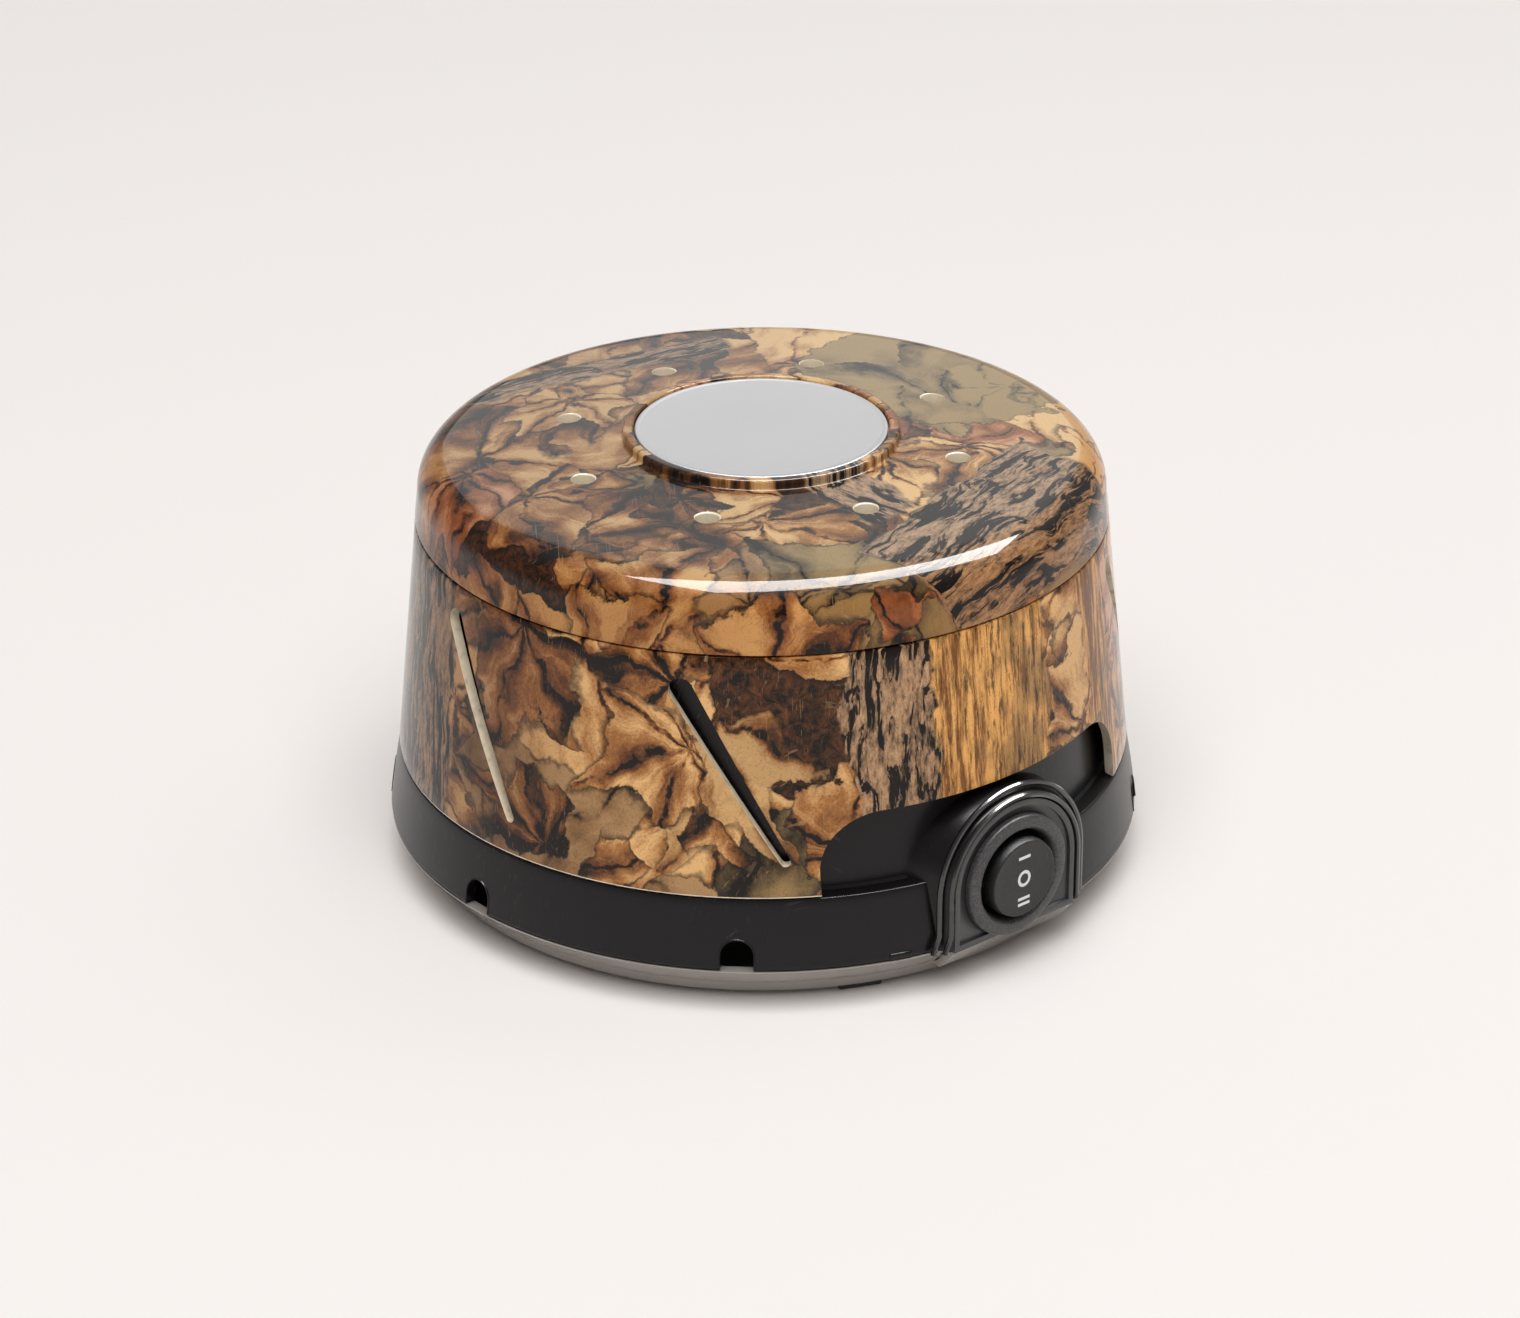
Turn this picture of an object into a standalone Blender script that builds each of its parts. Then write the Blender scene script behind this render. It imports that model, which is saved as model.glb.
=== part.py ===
"""Fan sound machine: a turning cap and collar over a fixed drum, with a shaded pole motor and fan inside.

Every size is in millimetres and is turned into metres where a mesh is made. Z is up, the feet stand on
Z = 0, the fan turns about the Z axis and the switch faces -Y. Azimuths are in degrees from -Y towards +X.
"""

import math

import bmesh
import bpy
from mathutils import Matrix, Vector

MM = 0.001

# Facets round a full turn
LARGE_SIDES = 48
SMALL_SIDES = 24
TINY_SIDES = 14

# Clearances
SEAT_GAP = 0.3
TURN_GAP = 0.6
BORE_GAP = 0.3
SCREW_HEAD_INSET = 0.1

# Edge breaks
FINE_CHAMFER = 0.6
BEZEL_CHAMFER = 0.8

# Angle above which an edge between facets stays sharp
SHARP_ANGLE = 35.0

# How far apart two points of a curve's cap may lie and still be welded, in metres
WELD_M = 0.00001

# Outer form
BODY_R = 73.0
SKIRT_TAPER = 2.1
SKIRT_HEIGHT = 13.5
WALL = 2.2
COLLAR_HEIGHT = 46.3
COLLAR_TAPER = 4.8
COLLAR_WALL = 3.0
CAP_WALL = 2.4
CAP_RIM_HEIGHT = 5.6
CAP_RIM_TAPER = 0.6
CAP_SHOULDER_R = 8.0
CAP_SHOULDER_HEIGHT = 7.3
CROWN_RISE = 1.8

# Badge
BADGE_R = 24.0
BADGE_THICKNESS = 0.8
BADGE_RING_WIDTH = 2.0
BADGE_RING_RISE = 1.9

# Base pan and feet
FOOT_PROUD = 0.8
PAN_FLOOR = 2.4
PAN_BASE_INSET = 6.5
PAN_STEP_HEIGHT = 2.5
PAN_STEP_DEPTH = 1.0
PAN_RIM_HEIGHT = 5.1
FOOT_AZIMUTHS = [-24.0 + 90.0 * turn for turn in range(4)]
FOOT_WIDTH = 8.3
FOOT_LENGTH = 7.5
FOOT_HEIGHT = 2.2
BASE_SCREW_AZIMUTHS = [21.0 + 90.0 * turn for turn in range(4)]
BASE_SCREW_INSET = 10.5
BASE_SCREW_R = 1.5
BASE_SCREW_HEAD_R = 3.1
BASE_SCREW_HEAD = 0.8
BASE_SCREW_LENGTH = 12.0
SCREW_BOSS_R = 3.6

# Air openings
SLOT_PITCH = 45.0
SLOT_COUNT = 7
SLOT_TOP_AZIMUTH = -6.7
SLOT_SLANT = 15.3
SLOT_TOP_R = 2.3
SLOT_FOOT_R = 0.95
SLOT_TOP_BELOW_RIM = 6.8
SLOT_FOOT_ABOVE_RIM = 7.2
DRUM_SLOT_TURN = -11.0
HOLE_COUNT = 8
HOLE_R = 2.25
HOLE_RING_R = 38.3
HOLE_AZIMUTH = -9.6
DRUM_HOLE_TURN = 10.0
WINDOW_AZIMUTHS = [side * 43.5 * step for side in (-1, 1) for step in (1, 2, 3)]
WINDOW_WIDTH = 6.2
WINDOW_HEIGHT = 5.9

# Collar cutout over the switch
CUTOUT_HALF_WIDTH = 36.5
CUTOUT_HEIGHT = 15.5
CUTOUT_CORNER_R = 11.0

# Switch, its panel and the hood round them
SWITCH_BELOW_LEDGE = 2.7
PANEL_SETBACK = 0.8
PANEL_THICKNESS = 2.0
PANEL_HALF_WIDTH = 14.9
PANEL_RIM_WIDTH = 1.2
PANEL_RIM_RISE = 0.8
LIP_DROP = 4.5
LIP_SETBACK = 4.0
HOOD_WALL = 1.1
HOOD_SIDE_FLARE = 1.27
HOOD_TOP_FLARE = 1.04
HOOD_DEPTH = 11.0
BEZEL_R = 12.0
BEZEL_THICKNESS = 1.6
SWITCH_BARREL_R = 9.9
SWITCH_DEPTH = 16.5
ROCKER_POCKET_R = 8.8
ROCKER_POCKET_DEPTH = 9.0
ROCKER_R = 7.8
ROCKER_PROUD = 1.3
ROCKER_THICKNESS = 5.0
ROCKER_PIVOT_DEPTH = 4.0
ROCKER_PIN_R = 1.0
TERMINAL_WIDTH = 4.8
TERMINAL_THICKNESS = 0.8
TERMINAL_LENGTH = 7.5
TERMINAL_PITCH = 5.5

# Cord inlet at the back
CORD_HOLE_R = 3.1
GROMMET_NECK_R = 4.0
GROMMET_FLANGE_R = 5.1
GROMMET_FLANGE = 1.8
INLET_PAD_R = 5.7
INLET_PAD_PROUD = 0.4
INLET_PAD_THICKNESS = 5.0

# Cap hub and the ring that holds it under the drum
HUB_R = 8.7
HUB_NECK_R = 7.6
HUB_BORE_R = 5.5
HUB_NECK_LENGTH = 3.7
RETAINER_R = 12.5
RETAINER_THICKNESS = 1.2

# Drum top
DRUM_TOP_BELOW_CROWN = 3.0
DRUM_SHOULDER = 5.0

# Motor
SHAFT_R = 1.6
STACK_HALF_WIDTH = 21.0
STACK_FRONT = 17.0
STACK_BACK = 42.0
STACK_THICKNESS = 15.0
CORE_LEG = 8.0
COIL_WINDOW_HALF = 13.0
COIL_WINDOW_DEPTH = 8.0
ROTOR_R = 12.2
AIR_GAP = 0.4
POST_SPACING = 17.0
POST_R = 5.0
POST_HEIGHT = 12.2
ISOLATOR_HEIGHT = 3.7
MOTOR_SCREW_R = 1.5
MOTOR_SCREW_HEAD_R = 3.0
MOTOR_SCREW_HEAD = 2.0
MOTOR_SCREW_BITE = 7.0
BRACKET_THICKNESS = 1.5
BRACKET_WIDTH = 11.0
BRACKET_DROP = 7.2
BRACKET_INNER_HALF = 8.5
BUSH_R = 3.4
BUSH_HEIGHT = 7.0
SHADING_WIRE = 1.6
SHADING_INNER_R = 12.9
SHADING_OUTER_R = 19.6
BOBBIN_WALL = 1.2
BOBBIN_FLANGE = 7.0
COIL_DEPTH = 4.5

# Leads from the switch to the coil
LEAD_R = 0.9
LEAD_REACH = 30.0
LEAD_STEPS = 4

# Fan
FAN_R = 44.0
FAN_DISC = 1.6
FAN_BLADES = 10
FAN_BLADE_HEIGHT = 13.0
FAN_BLADE_LENGTH = 22.0
FAN_BLADE_THICKNESS = 1.6
FAN_HUB_R = 6.0
FAN_HUB_HEIGHT = 10.0
FAN_ABOVE_BUSH = 0.8
CLIP_R = 4.0
CLIP_THICKNESS = 0.9
SHAFT_PAST_HUB = 2.5

# Levels and radii that follow from the sizes above
PAN_BOTTOM_Z = FOOT_PROUD
PAN_FLOOR_Z = PAN_BOTTOM_Z + PAN_FLOOR
PAN_TOP_Z = PAN_BOTTOM_Z + PAN_STEP_HEIGHT + PAN_RIM_HEIGHT
SKIRT_Z = PAN_TOP_Z + SEAT_GAP
LEDGE_Z = SKIRT_Z + SKIRT_HEIGHT
LEDGE_R = BODY_R - SKIRT_TAPER
COLLAR_Z = LEDGE_Z + SEAT_GAP
COLLAR_TOP_Z = COLLAR_Z + COLLAR_HEIGHT
COLLAR_TOP_R = LEDGE_R - COLLAR_TAPER
CAP_Z = COLLAR_TOP_Z + SEAT_GAP
SHOULDER_Z = CAP_Z + CAP_RIM_HEIGHT
SHOULDER_R = COLLAR_TOP_R - CAP_RIM_TAPER
CROWN_EDGE_Z = SHOULDER_Z + CAP_SHOULDER_HEIGHT
CROWN_EDGE_R = SHOULDER_R - CAP_SHOULDER_R
BADGE_RING_R = BADGE_R + SEAT_GAP + BADGE_RING_WIDTH
CROWN_Z = CROWN_EDGE_Z + CROWN_RISE
BADGE_RING_Z = CROWN_Z + BADGE_RING_RISE
BADGE_SEAT_Z = BADGE_RING_Z - BADGE_THICKNESS - 2.0 * SEAT_GAP
DRUM_TOP_Z = CROWN_EDGE_Z - DRUM_TOP_BELOW_CROWN
DRUM_PLATE_Z = DRUM_TOP_Z - WALL
SWITCH_Z = LEDGE_Z - SWITCH_BELOW_LEDGE
INLET_Z = SKIRT_Z + INLET_PAD_R
PANEL_Y = -(BODY_R - PANEL_SETBACK)
HOOD_Y = PANEL_Y - PANEL_RIM_RISE
HOOD_HALF_WIDTH = PANEL_HALF_WIDTH + SEAT_GAP + HOOD_WALL
POST_TOP_Z = PAN_FLOOR_Z + POST_HEIGHT
BRACKET_FOOT_Z = POST_TOP_Z + ISOLATOR_HEIGHT + 2.0 * SEAT_GAP
STACK_Z = BRACKET_FOOT_Z + BRACKET_THICKNESS + SEAT_GAP
STACK_TOP_Z = STACK_Z + STACK_THICKNESS
UPPER_FOOT_Z = STACK_TOP_Z + SEAT_GAP
LOWER_STRAP_Z = BRACKET_FOOT_Z - BRACKET_DROP
UPPER_STRAP_Z = UPPER_FOOT_Z + BRACKET_DROP
UPPER_BUSH_Z = UPPER_STRAP_Z + BRACKET_THICKNESS / 2 - BUSH_HEIGHT / 2
LOWER_BUSH_Z = LOWER_STRAP_Z + BRACKET_THICKNESS / 2 - BUSH_HEIGHT / 2
FAN_Z = UPPER_BUSH_Z + BUSH_HEIGHT + FAN_ABOVE_BUSH
SHAFT_TOP_Z = FAN_Z + FAN_HUB_HEIGHT + SHAFT_PAST_HUB


def clear_scene():
    """Take away whatever the file holds."""
    for item in list(bpy.data.objects):
        bpy.data.objects.remove(item, do_unlink=True)


def add_collection(name):
    collection = bpy.data.collections.new(name)
    bpy.context.scene.collection.children.link(collection)
    return collection


clear_scene()
PARTS = add_collection("fan_sound_machine")
CUTTERS = add_collection("cutters")


def add_material(name, colour, roughness, metallic=0.0):
    material = bpy.data.materials.new(name)
    material.use_nodes = True
    shader = material.node_tree.nodes["Principled BSDF"]
    shader.inputs["Base Color"].default_value = (*colour, 1.0)
    shader.inputs["Roughness"].default_value = roughness
    shader.inputs["Metallic"].default_value = metallic
    return material


def add_object(name, mesh, collection=None, material=None, smooth=True):
    """Link a mesh as an object. Without a material it is a helper, drawn as wire and never rendered."""
    shape = bpy.data.objects.new(name, mesh)
    (collection or CUTTERS).objects.link(shape)
    if material is None:
        shape.hide_render = True
        shape.display_type = "WIRE"
        return shape
    mesh.materials.append(material)
    if smooth:
        mesh.shade_smooth()
        mesh.set_sharp_from_angle(angle=math.radians(SHARP_ANGLE))
    return shape


def place(azimuth, radius, height=0.0):
    """The point at an azimuth, a radius and a height, in millimetres."""
    angle = math.radians(azimuth)
    return Vector((radius * math.sin(angle), -radius * math.cos(angle), height))


def mesh_of(build, name):
    """A mesh filled by a function that draws into a bmesh in millimetres."""
    form = bmesh.new()
    build(form)
    bmesh.ops.scale(form, vec=(MM, MM, MM), verts=form.verts)
    mesh = bpy.data.meshes.new(name)
    form.to_mesh(mesh)
    form.free()
    return mesh


def draw_box(form, low, high, turn=0.0):
    """A box between two corners, turned about Z."""
    low = Vector(low)
    high = Vector(high)
    size = high - low
    matrix = Matrix.Rotation(math.radians(turn), 4, "Z") @ Matrix.Translation((low + high) / 2)
    bmesh.ops.create_cube(form, size=1.0, matrix=matrix @ Matrix.Diagonal((*size, 1.0)))


def draw_cylinder(form, radius, start, end, sides=SMALL_SIDES, end_radius=None):
    """A cylinder, or a cone if it has an end radius, from one point to another."""
    start = Vector(start)
    end = Vector(end)
    way = end - start
    turn = way.to_track_quat("Z", "Y").to_matrix().to_4x4()
    bmesh.ops.create_cone(
        form,
        cap_ends=True,
        segments=sides,
        radius1=radius,
        radius2=radius if end_radius is None else end_radius,
        depth=way.length,
        matrix=Matrix.Translation((start + end) / 2) @ turn,
    )


def box(name, low, high, turn=0.0, material=None):
    mesh = mesh_of(lambda form: draw_box(form, low, high, turn), name)
    return add_object(name, mesh, PARTS if material else None, material, smooth=False)


def cylinder(name, radius, start, end, sides=SMALL_SIDES, material=None):
    mesh = mesh_of(lambda form: draw_cylinder(form, radius, start, end, sides), name)
    return add_object(name, mesh, PARTS if material else None, material)


def turned(name, profile, sides, material=None, closed=False):
    """A turned shape. Its profile runs down the outer side; a closed one keeps clear of the axis."""
    mesh = bpy.data.meshes.new(name)
    points = [(radius * MM, 0.0, height * MM) for radius, height in profile]
    edges = [(step, step + 1) for step in range(len(points) - 1)]
    if closed:
        edges.append((len(points) - 1, 0))
    mesh.from_pydata(points, edges, [])
    shape = add_object(name, mesh, PARTS if material else None, material, smooth=False)
    screw = shape.modifiers.new("turn", "SCREW")
    screw.angle = math.tau
    screw.steps = sides
    screw.render_steps = sides
    screw.use_merge_vertices = True
    screw.merge_threshold = WELD_M
    screw.use_smooth_shade = True
    return shape


def outline(name, points, low, high, across="Y", material=None):
    """A flat outline drawn in X and Z, or in Y and Z, and extruded across from low to high."""
    curve = bpy.data.curves.new(name, "CURVE")
    curve.dimensions = "2D"
    curve.fill_mode = "BOTH"
    curve.extrude = (high - low) / 2 * MM
    spline = curve.splines.new("POLY")
    spline.points.add(len(points) - 1)
    for corner, (along, up) in zip(spline.points, points):
        corner.co = (along * MM, up * MM, 0.0, 1.0)
    spline.use_cyclic_u = True
    drawn = bpy.data.objects.new(name + "_outline", curve)
    PARTS.objects.link(drawn)
    middle = (low + high) / 2 * MM
    if across == "Y":
        drawn.matrix_world = Matrix.Translation((0.0, middle, 0.0)) @ Matrix.Rotation(math.pi / 2, 4, "X")
    else:
        stand = Matrix.Rotation(math.pi / 2, 4, "Z") @ Matrix.Rotation(math.pi / 2, 4, "X")
        drawn.matrix_world = Matrix.Translation((middle, 0.0, 0.0)) @ stand
    mesh = as_mesh(drawn)
    mesh.name = name
    return add_object(name, mesh, PARTS if material else None, material, smooth=False)


def as_mesh(drawn):
    """The mesh of a curve object in world space, with its caps welded, and the curve removed."""
    bpy.context.view_layer.update()
    graph = bpy.context.evaluated_depsgraph_get()
    mesh = bpy.data.meshes.new_from_object(drawn.evaluated_get(graph))
    mesh.transform(drawn.matrix_world)
    bpy.data.objects.remove(drawn, do_unlink=True)
    form = bmesh.new()
    form.from_mesh(mesh)
    bmesh.ops.remove_doubles(form, verts=form.verts, dist=WELD_M)
    bmesh.ops.recalc_face_normals(form, faces=form.faces)
    form.to_mesh(mesh)
    form.free()
    return mesh


def combine(shape, other, operation):
    """A live Boolean of one shape with another."""
    modifier = shape.modifiers.new(other.name, "BOOLEAN")
    modifier.operation = operation
    modifier.solver = "EXACT"
    modifier.object = other
    return shape


def cut(shape, *others):
    for other in others:
        combine(shape, other, "DIFFERENCE")
    return shape


def join(shape, *others):
    for other in others:
        combine(shape, other, "UNION")
    return shape


def arc(centre, radius, start, end, steps, height=None):
    """Points on an arc between two angles in degrees. A height makes it an ellipse."""
    points = []
    for step in range(steps + 1):
        angle = math.radians(start + (end - start) * step / steps)
        along = centre[0] + radius * math.cos(angle)
        up = centre[1] + (radius if height is None else height) * math.sin(angle)
        points.append((along, up))
    return points


def arch(half_width, centre_z, foot_z, steps=12):
    """An arch: two straight legs and a half circle over them, in X and Z."""
    crown = arc((0.0, centre_z), half_width, 0.0, 180.0, steps)
    return [(half_width, foot_z)] + crown + [(-half_width, foot_z)]


def teardrop(form, turn):
    """A slanted slot cutter: the outline round a large upper and a small lower circle, pushed outwards."""
    top = Vector((-math.radians(SLOT_SLANT / 2) * LEDGE_R, COLLAR_TOP_Z - SLOT_TOP_BELOW_RIM))
    foot = Vector((math.radians(SLOT_SLANT / 2) * LEDGE_R, COLLAR_Z + SLOT_FOOT_ABOVE_RIM))
    way = top - foot
    tilt = math.degrees(math.atan2(way.y, way.x))
    spread = math.degrees(math.acos((SLOT_TOP_R - SLOT_FOOT_R) / way.length))
    rim = arc(top, SLOT_TOP_R, tilt - 180 + spread, tilt + 180 - spread, 8)
    rim += arc(foot, SLOT_FOOT_R, tilt + 180 - spread, tilt + 180 + spread, 4)
    inner = COLLAR_TOP_R - COLLAR_WALL - TURN_GAP - 2.0 * WALL
    middle = SLOT_TOP_AZIMUTH + SLOT_SLANT / 2 + turn
    spin = Matrix.Rotation(math.radians(middle), 4, "Z")
    face = form.faces.new([form.verts.new(spin @ Vector((along, -inner, up))) for along, up in rim])
    pushed = bmesh.ops.extrude_face_region(form, geom=[face])
    corners = [item for item in pushed["geom"] if isinstance(item, bmesh.types.BMVert)]
    reach = BODY_R + 2.0 * WALL - inner
    bmesh.ops.translate(form, verts=corners, vec=spin @ Vector((0.0, -reach, 0.0)))


def slot_cutters(name, turn):
    """Seven slots at an even pitch, with the one over the switch left out."""

    def draw(form):
        for step in range(1, SLOT_COUNT + 1):
            teardrop(form, turn + SLOT_PITCH * step)
        bmesh.ops.recalc_face_normals(form, faces=form.faces)

    return add_object(name, mesh_of(draw, name))


def hole_cutters(name, turn, low, high):
    """The ring of round air holes."""

    def draw(form):
        for step in range(HOLE_COUNT):
            azimuth = HOLE_AZIMUTH + turn + 360.0 / HOLE_COUNT * step
            ends = [place(azimuth, HOLE_RING_R, height) for height in (low, high)]
            draw_cylinder(form, HOLE_R, *ends, TINY_SIDES)

    return add_object(name, mesh_of(draw, name))


def screw_cutters(name, radius, low, high, sides=TINY_SIDES):
    """One cylinder at each base screw."""

    def draw(form):
        for azimuth in BASE_SCREW_AZIMUTHS:
            reach = BODY_R - BASE_SCREW_INSET
            draw_cylinder(form, radius, place(azimuth, reach, low), place(azimuth, reach, high), sides)

    return add_object(name, mesh_of(draw, name))


def window_cutters():
    """Arched air windows at the foot of the skirt."""

    def draw(form):
        for azimuth in WINDOW_AZIMUTHS:
            half = WINDOW_WIDTH / 2
            rise = WINDOW_HEIGHT * 0.35
            rim = [(half, SKIRT_Z - WALL)]
            rim += arc((0.0, SKIRT_Z + WINDOW_HEIGHT - rise), half, 0.0, 180.0, 6, rise)
            rim.append((-half, SKIRT_Z - WALL))
            spin = Matrix.Rotation(math.radians(azimuth), 4, "Z")
            inner = LEDGE_R - 3.0 * WALL
            face = form.faces.new([form.verts.new(spin @ Vector((along, -inner, up))) for along, up in rim])
            pushed = bmesh.ops.extrude_face_region(form, geom=[face])
            corners = [item for item in pushed["geom"] if isinstance(item, bmesh.types.BMVert)]
            bmesh.ops.translate(form, verts=corners, vec=spin @ Vector((0.0, -5.0 * WALL, 0.0)))
        bmesh.ops.recalc_face_normals(form, faces=form.faces)

    return add_object("window_cutters", mesh_of(draw, "window_cutters"))


def make_housing():
    """Skirt, ledge, drum and switch hood: one fixed moulding."""
    black = add_material("black_housing", (0.012, 0.011, 0.012), 0.32)
    drum_foot_r = LEDGE_R - COLLAR_WALL - TURN_GAP
    drum_top_r = COLLAR_TOP_R - COLLAR_WALL - TURN_GAP
    shoulder_foot_z = DRUM_TOP_Z - DRUM_SHOULDER
    hole_r = HUB_R + TURN_GAP
    skirt_mid_z = SKIRT_Z + SKIRT_HEIGHT * 0.4
    skirt_mid_r = BODY_R - SKIRT_TAPER * 0.34
    profile = [
        (hole_r, DRUM_TOP_Z),
        (drum_top_r - DRUM_SHOULDER, DRUM_TOP_Z),
        (drum_top_r, shoulder_foot_z),
        (drum_top_r, COLLAR_TOP_Z),
        (drum_foot_r, COLLAR_Z),
        (drum_foot_r, LEDGE_Z),
        (LEDGE_R, LEDGE_Z),
        (skirt_mid_r, skirt_mid_z),
        (BODY_R, SKIRT_Z),
        (BODY_R - WALL, SKIRT_Z),
        (skirt_mid_r - WALL, skirt_mid_z),
        (LEDGE_R - WALL, LEDGE_Z - WALL),
        (drum_foot_r - WALL, LEDGE_Z - WALL),
        (drum_foot_r - WALL, COLLAR_Z),
        (drum_top_r - WALL, COLLAR_TOP_Z),
        (drum_top_r - WALL, shoulder_foot_z - WALL * 0.4),
        (drum_top_r - DRUM_SHOULDER - WALL * 0.4, DRUM_PLATE_Z),
        (hole_r, DRUM_PLATE_Z),
    ]
    housing = turned("housing", profile, LARGE_SIDES, black, closed=True)
    boss_reach = LEDGE_Z - WALL / 2
    bosses = screw_cutters("housing_bosses", SCREW_BOSS_R, PAN_FLOOR_Z + SEAT_GAP, boss_reach, SMALL_SIDES)
    pad_y = BODY_R + INLET_PAD_PROUD
    pad = cylinder("inlet_pad", INLET_PAD_R, (0, pad_y - INLET_PAD_THICKNESS, INLET_Z), (0, pad_y, INLET_Z))
    join(housing, make_hood(), bosses, pad)
    opening = arch(PANEL_HALF_WIDTH + SEAT_GAP, SWITCH_Z, SKIRT_Z - WALL)
    hood_way = outline("hood_opening", opening, HOOD_Y - WALL, HOOD_Y + HOOD_DEPTH + 2.0 * WALL)
    pilot_top = SKIRT_Z + SKIRT_HEIGHT / 2
    pilots = screw_cutters("boss_pilots", BASE_SCREW_R + BORE_GAP, PAN_FLOOR_Z - WALL, pilot_top)
    inlet_r = GROMMET_NECK_R + BORE_GAP
    inlet = cylinder("inlet_hole", inlet_r, (0, LEDGE_R - 4.0 * WALL, INLET_Z), (0, pad_y + WALL, INLET_Z))
    slots = slot_cutters("drum_slots", DRUM_SLOT_TURN)
    holes = hole_cutters("drum_holes", DRUM_HOLE_TURN, DRUM_PLATE_Z - WALL, DRUM_TOP_Z + WALL)
    return cut(housing, hood_way, pilots, inlet, slots, holes, window_cutters())


def make_hood():
    """The arched hood, which flares back into the drum wall."""
    back_y = HOOD_Y + HOOD_DEPTH
    hood = outline("hood", arch(HOOD_HALF_WIDTH, SWITCH_Z, SKIRT_Z), HOOD_Y, back_y)
    for vertex in hood.data.vertices:
        if vertex.co.y > (HOOD_Y + HOOD_DEPTH / 2) * MM:
            vertex.co.x *= HOOD_SIDE_FLARE
            if vertex.co.z > SWITCH_Z * MM:
                vertex.co.z = SWITCH_Z * MM + (vertex.co.z - SWITCH_Z * MM) * HOOD_TOP_FLARE
    return hood


def make_collar():
    """The printed collar that turns on the ledge, with its slots and the cutout over the switch."""
    printed = add_material("printed_collar", (0.22, 0.14, 0.07), 0.18)
    profile = [
        (COLLAR_TOP_R, COLLAR_TOP_Z),
        (LEDGE_R, COLLAR_Z),
        (LEDGE_R - COLLAR_WALL, COLLAR_Z),
        (COLLAR_TOP_R - COLLAR_WALL, COLLAR_TOP_Z),
    ]
    collar = turned("collar", profile, LARGE_SIDES, printed, closed=True)
    corner_x = CUTOUT_HALF_WIDTH - CUTOUT_CORNER_R
    corner_z = COLLAR_Z + CUTOUT_HEIGHT - CUTOUT_CORNER_R
    rim = [(CUTOUT_HALF_WIDTH, COLLAR_Z - WALL)]
    rim += arc((corner_x, corner_z), CUTOUT_CORNER_R, 0.0, 90.0, 6)
    rim += arc((-corner_x, corner_z), CUTOUT_CORNER_R, 90.0, 180.0, 6)
    rim.append((-CUTOUT_HALF_WIDTH, COLLAR_Z - WALL))
    cutout = outline("collar_cutout", rim, -BODY_R - WALL, -BODY_R / 2)
    return cut(collar, cutout, slot_cutters("collar_slots", 0.0))


def make_cap():
    """The printed cap with its badge ring, air holes and the hub that turns in the drum."""
    printed = add_material("printed_cap", (0.24, 0.15, 0.08), 0.18)
    inner_shoulder_r = CAP_SHOULDER_R - CAP_WALL
    inner_shoulder_h = CAP_SHOULDER_HEIGHT - CAP_WALL
    under_z = CROWN_EDGE_Z - CAP_WALL
    crown_mid_r = (CROWN_EDGE_R + BADGE_RING_R) / 2
    profile = [(0.0, BADGE_SEAT_Z), (BADGE_R + SEAT_GAP, BADGE_SEAT_Z)]
    profile += [
        (BADGE_R + SEAT_GAP, BADGE_RING_Z - FINE_CHAMFER / 2),
        (BADGE_R + SEAT_GAP + FINE_CHAMFER, BADGE_RING_Z),
        (BADGE_RING_R - FINE_CHAMFER, BADGE_RING_Z - FINE_CHAMFER / 2),
        (BADGE_RING_R, CROWN_Z),
        (crown_mid_r, CROWN_Z - CROWN_RISE * 0.4),
    ]
    profile += arc((CROWN_EDGE_R, SHOULDER_Z), CAP_SHOULDER_R, 90.0, 0.0, 5, CAP_SHOULDER_HEIGHT)
    profile += [(COLLAR_TOP_R, CAP_Z), (COLLAR_TOP_R - CAP_WALL, CAP_Z)]
    profile += arc((CROWN_EDGE_R, SHOULDER_Z), inner_shoulder_r, 0.0, 90.0, 3, inner_shoulder_h)
    profile += [
        (HUB_R, under_z + CROWN_RISE * 0.6),
        (HUB_R, DRUM_PLATE_Z - SEAT_GAP),
        (HUB_NECK_R, DRUM_PLATE_Z - SEAT_GAP),
        (HUB_NECK_R, DRUM_PLATE_Z - SEAT_GAP - HUB_NECK_LENGTH),
        (HUB_BORE_R, DRUM_PLATE_Z - SEAT_GAP - HUB_NECK_LENGTH),
        (HUB_BORE_R, under_z),
        (0.0, under_z),
    ]
    cap = turned("cap", profile, LARGE_SIDES, printed)
    return cut(cap, hole_cutters("cap_holes", 0.0, DRUM_TOP_Z, BADGE_RING_Z + WALL))


def make_cap_fittings():
    """The badge disc on the cap and the push-on ring under the drum top."""
    satin = add_material("badge_metal", (0.55, 0.55, 0.56), 0.35, 0.2)
    steel = add_material("retainer_steel", (0.5, 0.5, 0.5), 0.3, 1.0)
    low = BADGE_SEAT_Z + SEAT_GAP
    cylinder("badge_disc", BADGE_R, (0, 0, low), (0, 0, low + BADGE_THICKNESS), LARGE_SIDES, satin)
    top = DRUM_PLATE_Z - 2.0 * SEAT_GAP
    bore = HUB_NECK_R + SEAT_GAP
    profile = [(RETAINER_R, top), (RETAINER_R, top - RETAINER_THICKNESS)]
    profile += [(bore, top - RETAINER_THICKNESS), (bore, top)]
    turned("cap_retainer", profile, SMALL_SIDES * 2, steel, closed=True)


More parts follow.
